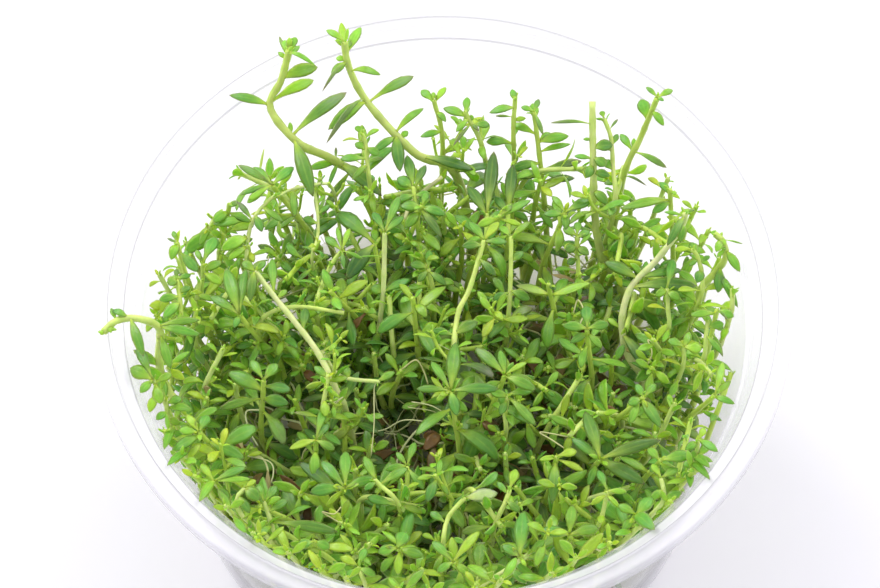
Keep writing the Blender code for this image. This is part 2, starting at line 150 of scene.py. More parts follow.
# Leaves that can be told apart in the picture, by sprig: the picture point of the root and of
# the tip, the width in picture points, and for some the age, the arch and the purple blush. An age
# below zero paints a silvery highlight on the leaf.
SEEN_LEAVES = {
    "back_left_outer": [
        (290, 55, 296, 37, 9, 0.5), (286, 55, 284, 40, 8, 0.1),
        (284, 58, 279, 36, 4, 0.5, 0.1, 0.8), (288, 54, 290, 38, 7, 0.3),
        (290, 58, 300, 46, 6, 0.3), (286, 60, 278, 52, 5, 0.3), (291, 56, 316, 66, 5, 0.2, 0.34),
        (287, 80, 318, 67, 14, 0.6), (271, 103, 314, 80, 12, 0.2), (265, 107, 229, 95, 10, 0.7),
        (295, 132, 347, 92, 13, 0.7, 0.1, 0.5), (294, 133, 290, 122, 5),
        (291, 142, 313, 197, 15, 0.75), (342, 162, 382, 196, 15, 0.85),
        (342, 157, 367, 155, 7, 0.3), (338, 163, 328, 188, 5, 0.5),
        (340, 155, 336, 147, 3, 0.7, 0.1, 0.8), (335, 170, 308, 169, 9, 0.35),
        (352, 170, 322, 216, 9, 0.85, 0.12, 0.4)],
    "back_left_inner": [
        (348, 55, 361, 27, 10, 0.15), (343, 60, 341, 22, 8, 0.1, 0.05), (340, 40, 326, 30, 7, 0.3),
        (344, 50, 337, 38, 7, 0.2), (346, 52, 352, 40, 6, 0.3), (343, 62, 336, 58, 7, 0.1),
        (345, 62, 331, 75, 9, 0.5), (342, 66, 322, 92, 4, 0.7, 0.3, 0.9),
        (352, 72, 381, 75, 8, 0.4, 0.3), (370, 101, 414, 76, 11, 0.6, 0.1, 0.3),
        (363, 104, 328, 130, 13, 0.6, 0.15), (360, 105, 326, 144, 6, 0.8, 0.3, 0.7),
        (392, 138, 400, 172, 13, 0.7), (402, 138, 408, 131, 7), (398, 132, 424, 108, 8, 0.35, 0.2),
        (390, 143, 372, 153, 9, 0.5), (426, 150, 474, 170, 12, 0.8, 0.12)],
    "back_1": [
        (433, 103, 421, 90, 9, 0.3), (434, 104, 446, 87, 7, 0.15), (437, 112, 446, 122, 7, 0.5),
        (441, 132, 420, 137, 8, 0.4), (434, 100, 433, 92, 5)],
    "back_2": [
        (465, 115, 467, 97, 8, 0.4), (463, 120, 443, 108, 10, 0.5), (466, 120, 474, 117, 6, 0.5),
        (464, 122, 456, 132, 7, 0.3), (470, 126, 490, 125, 9, 0.5),
        (469, 126, 479, 131, 4, 0.7, 0.1, 0.8), (470, 125, 453, 146, 4, 0.8, 0.1, 0.8)],
    "back_3": [
        (514, 103, 512, 89, 7, 0.4), (513, 108, 489, 113, 9, 0.5, 0.18),
        (514, 118, 495, 116, 3, 0.7, 0.1, 0.8), (512, 145, 486, 142, 10, 0.6, 0.25),
        (513, 140, 516, 122, 9, 0.4), (516, 122, 526, 118, 6, 0.2)],
    "back_4": [
        (534, 112, 539, 99, 6, 0.5, 0.1, 0.5), (533, 110, 521, 107, 6, 0.4),
        (531, 120, 533, 103, 10, 0.2), (538, 108, 543, 135, 5, 0.6, 0.1, 0.4),
        (535, 135, 513, 124, 9, 0.3), (540, 142, 551, 133, 8, 0.4), (543, 152, 571, 144, 7, 0.3),
        (545, 142, 569, 136, 11, 0.4), (538, 165, 508, 171, 10, 0.7, 0.2),
        (541, 170, 582, 161, 9, 0.9, 0.08, 0.7), (538, 178, 512, 176, 9, 0.7),
        (541, 182, 575, 178, 9, 0.8)],
    "tall_cut": [
        (589, 125, 550, 123, 4, 0.7, 0.16, 0.6), (589, 140, 583, 139, 4),
        (594, 148, 613, 145, 12, 0.7), (588, 160, 574, 156, 6, 0.3), (591, 165, 586, 178, 10, 0.6),
        (594, 190, 608, 205, 10, 0.6), (592, 158, 606, 166, 11, 0.6), (593, 172, 610, 176, 9, 0.7)],
    "right_back": [
        (657, 97, 673, 90, 7, 0.5), (656, 96, 646, 87, 5, 0.6), (657, 98, 664, 101, 4, 0.5),
        (645, 120, 641, 99, 13, 0.5), (652, 112, 664, 126, 8, 0.5, 0.2),
        (636, 155, 667, 168, 7, 0.6, 0.16, 0.6), (628, 150, 620, 134, 8, 0.4),
        (630, 150, 634, 138, 5), (625, 178, 647, 186, 3, 0.8, 0.3, 0.9),
        (622, 180, 604, 184, 9, 0.7), (624, 195, 636, 204, 4, 0.7, 0.1, 0.6)],
    "right_bent": [
        (683, 212, 695, 210, 3, 0.6, 0.2, 0.5), (680, 215, 664, 212, 4, 0.4),
        (679, 215, 667, 246, 9, 0.75), (686, 228, 680, 243, 9, 0.6, 0.2),
        (632, 288, 697, 286, 14, 0.7, 0.14), (640, 281, 682, 270, 10, 0.6),
        (630, 333, 653, 376, 13, 0.8), (624, 330, 607, 318, 6, 0.1), (636, 276, 604, 262, 12, 0.7)],
    "right_curled": [
        (735, 250, 740, 272, 9, 0.5), (722, 240, 716, 252, 8, 0.1), (722, 238, 725, 246, 7, 0.1),
        (730, 244, 722, 250, 6, 0.2), (720, 240, 722, 232, 3),
        (728, 236, 743, 244, 2, 0.4, 0.1, 0.5), (724, 270, 718, 293, 11, 0.7),
        (727, 282, 738, 308, 8, 0.6, 0.25), (717, 250, 717, 257, 5)],
    "pale_upright": [
        (385, 228, 373, 212, 9, 0.5), (385, 226, 400, 196, 9, 0.3), (386, 224, 404, 216, 9, 0.4),
        (386, 292, 411, 279, 9, 0.3), (383, 292, 371, 287, 12, 0.3), (384, 257, 358, 257, 2, 0.2)],
    "pale_slanting": [
        (252, 268, 242, 262, 9, 0.4), (252, 268, 266, 262, 7, 0.5), (255, 272, 250, 302, 10, 0.7),
        (275, 295, 272, 258, 9, 0.3), (277, 298, 287, 290, 6, 0.3), (303, 332, 306, 308, 10, 0.6)],
    "over_the_rim": [
        (128, 313, 112, 310, 7, 0.6, 0.25), (113, 316, 111, 308, 5, 0.6),
        (105, 322, 111, 333, 5, 0.2), (103, 325, 117, 330, 4, 0.1), (130, 318, 144, 357, 10, 0.7),
        (143, 368, 133, 350, 10, 0.6), (160, 326, 201, 335, 9, 0.4), (160, 324, 200, 320, 8, 0.6),
        (175, 335, 171, 369, 10, 0.4), (150, 388, 130, 368, 13, 0.4),
        (156, 375, 163, 402, 12, 0.3)],
    "centre_leaning": [
        (483, 238, 499, 222, 9, 0.1), (482, 240, 469, 222, 9, 0.2), (484, 241, 507, 242, 8, 0.4),
        (482, 246, 462, 246, 9, 0.6), (479, 258, 496, 276, 8, 0.7), (456, 335, 432, 330, 8, 0.5),
        (457, 335, 478, 322, 12, 0.6)],
    "left_back": [
        (176, 243, 173, 231, 5, 0.6), (174, 245, 167, 238, 3, 0.7, 0.1, 0.8),
        (177, 246, 171, 260, 10, 0.3, 0.25), (183, 252, 198, 272, 11, 0.6),
        (190, 272, 179, 277, 5, 0.8, 0.1, 0.6), (194, 268, 186, 250, 7, 0.4)],
    "01": [
        (345, 484, 346, 451, 12, 0.2), (344, 484, 321, 461, 10, 0.3),
        (343, 486, 310, 492, 12, 0.35), (347, 485, 375, 478, 10, 0.3),
        (346, 498, 358, 537, 13, 0.15), (343, 490, 326, 506, 6, 0.1),
        (341, 495, 299, 462, 13, 0.7)],
    "02": [
        (587, 325, 586, 306, 12, 0.4), (585, 327, 563, 326, 10, 0.3), (588, 328, 609, 324, 10, 0.4),
        (586, 333, 570, 343, 8, 0.5), (590, 333, 602, 348, 8, 0.3)],
    "03": [
        (644, 400, 628, 404, 10, 0.2), (645, 398, 656, 384, 8, 0.3), (646, 404, 661, 428, 12, 0.5),
        (643, 398, 636, 384, 8, 0.3), (643, 405, 630, 424, 9, 0.2)],
    "04": [
        (598, 455, 585, 411, 14, 0.6), (603, 460, 661, 440, 12, 0.75),
        (605, 466, 645, 484, 15, 0.7), (597, 458, 571, 438, 10, 0.5), (597, 464, 588, 486, 8, 0.3)],
    "05": [
        (505, 372, 475, 348, 11, 0.25, 0.1, 0.4), (504, 369, 500, 350, 9, 0.3),
        (507, 372, 527, 362, 6, 0.1), (507, 377, 536, 390, 12, 0.4), (503, 382, 484, 388, 8, 0.3),
        (500, 392, 508, 410, 9, 0.4)],
    "06": [
        (569, 532, 572, 505, 11, 0.3), (567, 534, 540, 530, 11, 0.4), (572, 534, 599, 528, 12, 0.4),
        (572, 538, 592, 552, 8, 0.1), (568, 540, 560, 558, 9, 0.2), (566, 540, 545, 562, 10, 0.5)],
    "08": [
        (316, 440, 289, 449, 8, 0.1), (316, 437, 335, 450, 9, 0.4), (316, 436, 329, 424, 8, 0.5),
        (318, 450, 314, 478, 11, 0.1), (318, 428, 326, 404, 9, 0.2)],
    "10": [
        (262, 386, 291, 390, 11, 0.5), (259, 398, 289, 404, 12, 0.4), (256, 390, 228, 372, 15, 0.4),
        (258, 398, 220, 409, 9, 0.5), (263, 380, 278, 364, 11, 0.3), (262, 380, 251, 360, 9, 0.2)],
    "11": [
        (200, 430, 208, 415, 12, 0.35), (199, 432, 187, 415, 8, 0.0), (199, 433, 179, 430, 9, 0.1),
        (200, 437, 171, 452, 11, 0.4), (204, 445, 245, 459, 12, 0.4)],
    "12": [
        (214, 478, 246, 467, 9, 0.4), (214, 479, 201, 464, 8, 0.0), (215, 482, 251, 479, 6, 0.1),
        (213, 483, 199, 502, 9, 0.2), (216, 485, 229, 502, 10, 0.5)],
    "13": [
        (397, 546, 406, 532, 14, 0.3), (396, 548, 378, 552, 10, 0.2), (399, 550, 424, 556, 11, 0.4),
        (398, 555, 398, 575, 9, 0.1)],
    "14": [
        (268, 182, 238, 165, 8, 0.5, 0.1, 0.4), (266, 184, 240, 195, 6, 0.6),
        (270, 187, 249, 200, 8, 0.15), (270, 178, 294, 167, 10, 0.4), (268, 178, 253, 167, 9, 0.4),
        (277, 190, 292, 173, 6, 0.0)],
    "15": [
        (231, 208, 238, 201, 6, 0.6, 0.1, 0.6), (231, 212, 213, 222, 11, 0.35),
        (233, 214, 251, 222, 8, 0.5)],
    "17": [
        (502, 219, 531, 200, 9, 0.2), (500, 220, 477, 226, 9, 0.1), (503, 217, 514, 204, 7, 0.2),
        (504, 222, 523, 226, 6, 0.0), (501, 224, 489, 240, 9, 0.3)],
    "18": [
        (561, 211, 591, 200, 11, 0.5), (559, 212, 543, 214, 9, 0.4), (562, 213, 566, 230, 9, 0.5),
        (560, 209, 552, 196, 7, 0.2)],
    "19": [
        (666, 195, 660, 182, 8, 0.5), (664, 200, 620, 209, 10, 0.5), (665, 202, 652, 213, 9, 0.5),
        (668, 192, 677, 193, 3, 0.4)],
    "20": [
        (708, 309, 734, 317, 9, 0.4), (712, 300, 728, 321, 2, 0.8, 0.2, 0.9),
        (710, 328, 724, 327, 8, 0.4), (711, 334, 723, 357, 5, 0.6, 0.2, 0.5),
        (704, 310, 690, 315, 8, 0.3)],
    "21": [
        (712, 395, 731, 381, 7, 0.3), (713, 397, 735, 404, 7, 0.4), (711, 386, 723, 362, 8, 0.1),
        (706, 420, 722, 421, 6, 0.4), (705, 440, 718, 456, 8, 0.3)],
    "23": [
        (558, 456, 577, 451, 9, 0.0), (556, 457, 539, 460, 6, 0.0), (557, 462, 552, 504, 12, 0.5),
        (560, 460, 584, 471, 7, 0.1)],
    "24": [
        (453, 379, 456, 342, 14, 0.45), (454, 380, 499, 389, 11, 0.5), (451, 380, 431, 361, 9, 0.3),
        (450, 384, 416, 389, 8, 0.5), (453, 390, 457, 416, 11, 0.4), (450, 388, 436, 401, 6, 0.1)],
    "25": [
        (437, 480, 441, 459, 7, 0.2), (434, 477, 417, 479, 6, 0.1), (433, 481, 427, 502, 10, 0.5),
        (437, 485, 449, 495, 5, 0.2)],
    "28": [
        (245, 303, 226, 268, 13, 0.35), (249, 303, 246, 268, 10, 0.5),
        (243, 308, 210, 296, 10, 0.5), (246, 312, 234, 328, 7, 0.3)],
    "31": [
        (549, 285, 556, 290, 5, 0.7)],
    "07": [
        (522, 550, 523, 511, 14, 0.3), (517, 555, 502, 545, 9, 0.4), (523, 558, 541, 553, 11, 0.3)],
    "16": [
        (420, 207, 400, 206, 12, 0.4), (424, 208, 446, 215, 10, 0.4), (421, 210, 442, 238, 9, 0.8),
        (419, 212, 405, 228, 11, 0.4), (422, 204, 427, 193, 8, 0.2)],
    "22": [
        (663, 461, 691, 455, 12, 0.3), (658, 460, 648, 448, 9, 0.2), (659, 463, 650, 472, 8, 0.3),
        (663, 466, 676, 477, 8, 0.4)],
    "26": [
        (313, 540, 330, 548, 10, 0.3), (311, 541, 296, 548, 9, 0.3)],
    "27": [
        (638, 512, 652, 497, 13, 0.3), (634, 513, 618, 505, 9, 0.2), (636, 518, 655, 530, 13, 0.4),
        (634, 517, 622, 530, 9, 0.3)],
    "32": [
        (455, 559, 480, 531, 9, 0.05), (452, 559, 432, 541, 9, 0.3), (451, 562, 437, 572, 8, 0.3),
        (456, 563, 470, 575, 8, 0.2)],
}

# More sprigs that can be made out: picture points and heights in millimetres from low down to
# the tip, the length of a full leaf in millimetres, how pale the stem is, and leaves as above.
SEEN_SPRIGS = {
    "left_upright": ([(203, 300, 42), (203, 275, 46), (203, 263, 48)], 5.0, 0.3, [
        (203, 262, 216, 237, 13, 0.4), (202, 264, 196, 250, 6, 0.3), (205, 272, 222, 284, 10, 0.1),
        (205, 271, 222, 262, 9, 0.4)]),
    "left_dark": ([(182, 335, 44), (181, 310, 48), (177, 279, 50)], 4.5, 0.2, [
        (177, 278, 168, 285, 11, 0.6), (178, 277, 191, 275, 6, 0.6),
        (177, 278, 176, 269, 5, 0.7, 0.1, 0.5), (180, 292, 191, 287, 7, 0.7),
        (179, 297, 159, 300, 9, 0.5), (180, 303, 163, 318, 11, 0.3), (181, 312, 178, 332, 9, 0.4)]),
    "left_inner": ([(196, 345, 40), (197, 300, 45), (200, 280, 47)], 5.0, 0.4, [
        (197, 293, 181, 296, 6, 0.5), (197, 296, 216, 301, 7, 0.2),
        (196, 325, 185, 363, 10, 0.75)]),
    "left_arch": (
        [(248, 285, 40), (247, 250, 44), (252, 222, 46), (265, 204, 47.5), (276, 195, 48.3)],
        5.0, 0.6, [
        (250, 220, 213, 224, 11, 0.35), (249, 219, 238, 202, 6, 0.7, 0.1, 0.6),
        (247, 238, 221, 250, 13, 0.0), (247, 248, 228, 260, 8, 0.1), (262, 207, 283, 222, 7, 0.5),
        (255, 215, 262, 232, 9, 0.6)]),
    "left_thread": ([(332, 188, 44), (310, 186, 46), (290, 190, 47), (278, 197, 47.6)], 4.0, 0.7, [
        (293, 190, 295, 217, 8, 0.5), (303, 187, 308, 178, 4, 0.4)]),
    "left_lacy": ([(312, 262, 42), (318, 235, 44), (317, 205, 46), (314, 190, 47)], 4.0, 0.6, [
        (316, 205, 325, 195, 4, 0.1), (317, 215, 330, 205, 5, 0.3), (317, 225, 303, 218, 8, 0.5)]),
    "back_shoot": (
        [(370, 185, 44), (367, 160, 46.5), (366, 145, 47.5), (362, 133, 48.5)], 4.5, 0.3, [
        (363, 134, 356, 126, 7, 0.3), (366, 145, 370, 136, 3, 0.6), (366, 148, 379, 155, 9, 0.4),
        (365, 150, 355, 143, 9, 0.4), (366, 159, 340, 159, 9, 0.3), (367, 165, 352, 180, 7, 0.5)]),
    "back_tuft": ([(418, 225, 42), (415, 200, 45), (413, 186, 46)], 5.0, 0.2, [
        (413, 190, 407, 155, 11, 0.6), (412, 189, 397, 178, 12, 0.4), (414, 189, 426, 165, 8, 0.7),
        (414, 196, 398, 200, 9, 0.4), (415, 196, 430, 195, 9, 0.3)]),
    "back_broad": ([(486, 240, 41), (487, 213, 44)], 5.0, 0.2, [
        (488, 213, 494, 151, 14, 0.8, 0.04), (486, 216, 468, 186, 12, 0.7),
        (488, 218, 507, 212, 8, 0.4)]),
    "back_dark": ([(508, 240, 40), (508, 212, 43)], 5.0, 0.2, [
        (508, 212, 513, 164, 12, 0.9), (507, 214, 494, 196, 9, 0.6)]),
    "back_right_arch": (
        [(615, 205, 44), (613, 165, 47), (611, 138, 49.5), (604, 118, 51)], 5.0, 0.5, [
        (604, 118, 601, 111, 6, 0.5), (605, 119, 596, 119, 3, 0.3),
        (611, 130, 618, 119, 3, 0.7, 0.1, 0.7), (612, 145, 618, 134, 6, 0.6),
        (612, 152, 600, 142, 11, 0.6), (613, 170, 604, 160, 9, 0.5)]),
    "right_tuft": ([(700, 300, 44), (702, 275, 47), (697, 256, 49), (691, 249, 50)], 4.5, 0.3, [
        (692, 249, 674, 250, 6, 0.0), (696, 253, 691, 242, 9, 0.5), (699, 260, 689, 266, 5, 0.6),
        (701, 262, 710, 256, 5, 0.5), (702, 270, 697, 283, 10, 0.6)]),
    "right_low": ([(703, 360, 42), (706, 335, 45), (708, 320, 46)], 4.0, 0.4, [
        (707, 327, 724, 324, 9, 0.4), (706, 330, 694, 322, 8, 0.2), (707, 335, 722, 354, 6, 0.5)]),
    "bent_cut": (
        [(258, 330, 43), (272, 312, 45.5), (300, 307, 46.5), (344, 313, 46)], 4.0, 0.35, []),
    "middle_small": ([(316, 312, 42), (322, 285, 44), (333, 262, 46), (342, 251, 47)], 4.0, 0.3, [
        (341, 250, 325, 237, 9, 0.4), (343, 248, 337, 227, 5, 0.2), (344, 248, 350, 228, 6, 0.1),
        (346, 249, 363, 259, 4, 0.3), (343, 253, 344, 269, 5, 0.5)]),
    "olive": ([(380, 275, 38), (374, 243, 43)], 5.0, 0.1, [
        (373, 241, 337, 212, 17, 0.5), (374, 245, 346, 280, 15, 0.85)]),
    "star_middle": ([(508, 320, 40), (510, 290, 43), (511, 255, 46), (511, 236, 47)], 4.5, 0.3, [
        (511, 238, 530, 222, 7, 0.2), (511, 238, 500, 226, 8, 0.1), (511, 262, 524, 252, 9, 0.5),
        (510, 290, 530, 300, 10, 0.4), (510, 292, 493, 300, 9, 0.5)]),
    "front_hook": (
        [(275, 548, 44), (262, 532, 45), (243, 517, 47), (236, 500, 48), (245, 488, 48.5)],
        4.0, 0.7, [
        (246, 488, 260, 500, 13, 0.5), (240, 496, 250, 513, 9, 0.6), (246, 487, 256, 480, 6, 0.1)]),
    "front_branch": ([(278, 555, 43), (272, 525, 46), (264, 501, 48)], 4.5, 0.6, [
        (264, 501, 257, 484, 9, 0.3), (265, 502, 277, 486, 9, 0.5), (268, 513, 288, 500, 9, 0.5),
        (273, 522, 338, 532, 11, 0.6), (272, 526, 252, 540, 9, 0.4)]),
    "front_pod": ([(320, 425, 43), (324, 400, 46), (328, 374, 48)], 4.5, 0.5, [
        (324, 400, 326, 417, 10, 0.15), (326, 388, 340, 398, 4, 0.0),
        (327, 378, 314, 366, 8, 0.4)]),
    "front_flick": ([(398, 503, 45), (380, 485, 47), (374, 479, 47.5)], 4.5, 0.3, [
        (376, 481, 364, 456, 9, 0.2), (380, 484, 408, 468, 9, 0.35), (377, 482, 364, 490, 6, 0.3)]),
    # The grey leaf's age below zero paints a silvery highlight on it.
    "front_grey": ([(443, 547, 44), (447, 520, 45.5), (460, 503, 46.5), (466, 498, 47)], 4.5, 0.3, [
        (466, 498, 498, 493, 13, -1.0, 0.05), (446, 524, 430, 512, 8, 0.4)]),
    "hollow_star": ([(408, 500, 40), (407, 466, 44)], 4.0, 0.2, [
        (407, 466, 415, 442, 8, 0.3), (406, 466, 385, 470, 8, 0.3), (408, 468, 424, 490, 8, 0.4),
        (406, 464, 396, 452, 6, 0.3)]),
    "front_blade": ([(495, 525, 44), (505, 503, 47), (510, 489, 48)], 4.5, 0.4, [
        (511, 490, 516, 469, 10, 0.1), (508, 494, 497, 482, 6, 0.3), (506, 500, 520, 512, 8, 0.5)]),
    "front_low": ([(365, 588, 44), (358, 566, 46)], 4.5, 0.5, [
        (358, 566, 340, 556, 9, 0.1), (359, 565, 366, 548, 8, 0.2), (360, 568, 376, 576, 8, 0.3),
        (357, 569, 343, 580, 8, 0.2)]),
    "front_glint": ([(478, 600, 43), (478, 576, 45)], 5.0, 0.4, [
        (478, 576, 481, 543, 15, 0.5), (477, 578, 460, 570, 9, 0.3), (480, 578, 498, 566, 8, 0.1)]),
    "front_long": ([(470, 600, 43), (503, 572, 46), (531, 553, 48)], 4.5, 0.6, [
        (530, 554, 545, 540, 8, 0.2), (528, 556, 552, 560, 9, 0.4), (510, 568, 527, 584, 9, 0.5)]),
    "front_right_star": ([(600, 522, 44), (605, 503, 46), (607, 491, 47)], 4.0, 0.5, [
        (607, 491, 627, 492, 6, 0.0), (606, 490, 598, 470, 8, 0.3), (606, 494, 590, 505, 6, 0.1),
        (608, 496, 620, 508, 5, 0.0)]),
    "right_edge": ([(690, 485, 43), (696, 462, 46), (698, 440, 48)], 4.5, 0.5, [
        (699, 440, 718, 452, 8, 0.3), (698, 438, 705, 428, 7, 0.1), (697, 441, 685, 450, 8, 0.2),
        (696, 462, 710, 468, 9, 0.4), (694, 470, 684, 462, 7, 0.2), (691, 482, 702, 490, 8, 0.4)]),
    "left_edge": ([(172, 440, 43), (168, 420, 46), (166, 398, 48)], 4.5, 0.4, [
        (166, 398, 158, 388, 8, 0.3), (167, 404, 182, 398, 9, 0.3), (167, 412, 156, 420, 8, 0.4),
        (170, 430, 184, 440, 9, 0.4), (171, 436, 164, 450, 9, 0.5), (168, 420, 180, 424, 8, 0.2)]),
    "left_rim": ([(176, 425, 43), (162, 397, 48.5), (153, 380, 52.9)], 4.5, 0.4, [
        (152, 380, 130, 368, 14, 0.35), (152, 379, 137, 345, 10, 0.7),
        (154, 384, 161, 404, 12, 0.2), (152, 381, 140, 393, 9, 0.3), (155, 383, 172, 374, 8, 0.3)]),
    "back_pale": ([(668, 330, 40), (668, 310, 43), (667, 288, 45)], 4.5, 0.4, [
        (667, 288, 673, 259, 10, 0.4), (667, 292, 680, 300, 9, 0.3), (667, 290, 655, 296, 8, 0.2)]),
    "middle_low": ([(433, 292, 40), (428, 268, 43)], 4.5, 0.3, [
        (428, 268, 410, 264, 9, 0.4), (430, 272, 446, 285, 8, 0.5), (428, 266, 430, 250, 9, 0.3),
        (427, 270, 418, 282, 8, 0.6)]),
    "middle_fan": ([(506, 430, 40), (505, 415, 43), (508, 395, 46)], 5.0, 0.4, [
        (510, 393, 535, 388, 11, 0.3), (512, 398, 536, 426, 10, 0.4), (506, 396, 490, 392, 9, 0.2),
        (507, 400, 500, 415, 8, 0.5)]),
    "right_small": ([(682, 370, 42), (684, 347, 46)], 4.0, 0.4, [
        (684, 346, 702, 349, 13, 0.05), (683, 346, 668, 340, 9, 0.3),
        (684, 345, 690, 332, 8, 0.2)]),
    "lying": ([(322, 352, 43), (340, 376, 44), (380, 382, 45)], 4.0, 0.7, [
        (378, 381, 395, 372, 8, 0.2), (350, 379, 345, 366, 8, 0.4)]),
    "right_wall": ([(700, 492, 42), (701, 474, 45), (702, 458, 47)], 4.5, 0.5, [
        (702, 458, 709, 444, 8, 0.3), (702, 459, 690, 454, 8, 0.2), (702, 466, 713, 462, 8, 0.4),
        (701, 474, 710, 480, 9, 0.5), (700, 480, 690, 488, 8, 0.4)]),
    "left_wall": ([(186, 484, 42), (180, 468, 45), (176, 452, 47)], 4.5, 0.4, [
        (176, 452, 168, 441, 8, 0.3), (177, 454, 189, 446, 9, 0.2), (178, 462, 167, 466, 9, 0.4),
        (181, 470, 194, 474, 8, 0.3), (183, 475, 180, 486, 9, 0.5)]),
    "back_small": ([(578, 275, 40), (577, 252, 43), (577, 236, 45.5)], 4.5, 0.3, [
        (577, 236, 563, 228, 9, 0.4), (577, 237, 590, 231, 8, 0.4), (577, 246, 565, 251, 10, 0.6),
        (578, 248, 589, 255, 9, 0.6), (577, 236, 578, 222, 8, 0.3), (578, 258, 567, 264, 8, 0.7)]),
    "right_lime": ([(672, 540, 44), (664, 500, 47), (661, 478, 48)], 4.5, 0.6, [
        (661, 478, 652, 464, 8, 0.0), (662, 478, 678, 468, 9, 0.3), (663, 490, 650, 500, 8, 0.2),
        (665, 500, 682, 492, 9, 0.4)]),
}

# Old leaves that show in the hollows: picture point, height, length and width in millimetres, and
# the colour from brown, 0, to straw, 1.
OLD_LEAVES_SEEN = [
    (312, 378, 37, 4.0, 2.4, 0.05), (240, 447, 37, 3.6, 2.4, 0.1), (261, 476, 37, 3.6, 2.2, 0.25),
    (284, 478, 37, 3.0, 2.0, 0.1), (428, 446, 35, 4.0, 3.0, 0.12), (367, 450, 35, 4.0, 2.2, 0.0),
    (430, 436, 34, 3.5, 2.6, 0.1), (552, 298, 37, 4.5, 2.2, 0.05), (356, 325, 39, 4.0, 2.2, 0.1),
    (462, 232, 41, 3.0, 1.6, 0.9), (205, 390, 41, 5.0, 2.4, 0.6), (612, 508, 40, 3.0, 2.2, 0.95),
    (610, 410, 38, 3.0, 2.2, 0.2), (268, 478, 38, 4.2, 1.4, 0.8), (490, 428, 38, 3.4, 2.0, 0.1),
    (640, 350, 38, 4.0, 2.0, 0.8), (556, 276, 38, 2.8, 1.6, 0.5), (345, 425, 38, 3.4, 2.0, 0.7),
    (238, 437, 39, 2.4, 1.4, 1.0)]

# Pale rootlets that show: picture points and heights along each, and the radius in millimetres.
ROOTLETS_SEEN = [
    ([(398, 458, 33), (410, 438, 35), (432, 416, 37)], 0.28),
    ([(374, 392, 44), (374, 425, 43), (371, 456, 41)], 0.14),
    ([(412, 402, 40), (432, 406, 40), (452, 418, 39)], 0.16),
    ([(408, 407, 39), (428, 410, 39), (440, 414, 38)], 0.12),
    ([(383, 430, 35), (405, 420, 36), (440, 424, 36)], 0.18),
    ([(262, 458, 38), (268, 474, 38), (260, 492, 38)], 0.26),
    ([(270, 462, 38), (273, 476, 38), (266, 490, 38)], 0.2),
    ([(246, 412, 40), (250, 432, 39), (258, 446, 38)], 0.24),
    ([(343, 397, 45), (330, 404, 45), (322, 400, 45)], 0.14),
    ([(322, 512, 47), (334, 514, 47), (341, 507, 47)], 0.16),
    ([(416, 360, 40), (424, 372, 39), (428, 384, 38)], 0.22),
    ([(440, 345, 44), (450, 350, 44), (462, 352, 44)], 0.12),
    ([(578, 300, 40), (584, 312, 40), (580, 324, 40)], 0.2),
    ([(648, 340, 42), (652, 352, 42), (648, 364, 41)], 0.2),
    ([(540, 432, 44), (552, 440, 44), (564, 448, 44)], 0.18),
    ([(590, 545, 46), (604, 552, 46), (618, 548, 46)], 0.2),
    ([(410, 205, 42), (420, 194, 43), (442, 177, 45)], 0.49)]

# Gaps between the plants where the pale ground shows: picture point and radius.
GAPS = [
    (193, 214, 17), (213, 197, 14), (232, 191, 9), (249, 160, 12), (314, 130, 12), (305, 204, 9),
    (334, 188, 11), (357, 214, 12), (278, 158, 8), (296, 157, 9), (330, 243, 11), (366, 243, 7),
    (637, 184, 10), (657, 166, 7), (645, 214, 8), (641, 250, 8), (672, 206, 8), (740, 335, 13),
    (724, 354, 8), (528, 273, 9), (554, 277, 6), (575, 263, 7), (425, 170, 7), (438, 165, 6),
    (449, 200, 7), (560, 192, 8), (184, 303, 5), (165, 350, 6), (163, 372, 6), (500, 158, 8),
    (470, 158, 7), (590, 262, 7), (616, 225, 6), (700, 228, 8), (720, 300, 5), (392, 166, 7),
    (340, 232, 8), (362, 222, 7), (380, 190, 7), (548, 262, 6), (183, 330, 6), (602, 195, 6)]

# Stretches of the long stems that no leaf hides: picture points.
OPEN_STEMS = [
    (630, 291), (625, 302), (622, 313), (621, 325), (624, 338), (629, 352), (635, 368), (641, 384),
    (594, 196), (594, 208), (595, 220), (597, 233), (599, 246), (603, 259), (609, 271), (652, 272),
    (664, 260), (674, 247), (268, 287), (278, 300), (288, 314), (298, 327), (308, 341), (318, 355),
    (327, 369), (385, 240), (384, 262), (383, 280), (481, 252), (475, 268), (466, 284), (459, 300),
    (456, 318), (438, 152), (425, 143), (412, 132), (310, 150), (322, 156), (335, 162)]


# Settings


class CupSettings(bpy.types.PropertyGroup):
    """The clear cup."""

    height: FloatProperty(
        name="Height", description="From the foot to the rim", default=CUP_BOX[1][2],
        unit="LENGTH", subtype="DISTANCE")
    rim_radius: FloatProperty(
        name="Rim radius", description="Radius of the rim's outer edge",
        default=CUP_BOX[1][0], unit="LENGTH", subtype="DISTANCE")
    wall: FloatProperty(
        name="Wall", description="Thickness of the wall", default=0.9 * MM, unit="LENGTH",
        subtype="DISTANCE")
    segments: IntProperty(
        name="Segments", description="Faces round the cup", default=160, min=32)
    colour: FloatVectorProperty(
        name="Colour", description="Tint of the clear plastic", subtype="COLOR", size=3,
        default=(0.93, 0.93, 0.955))


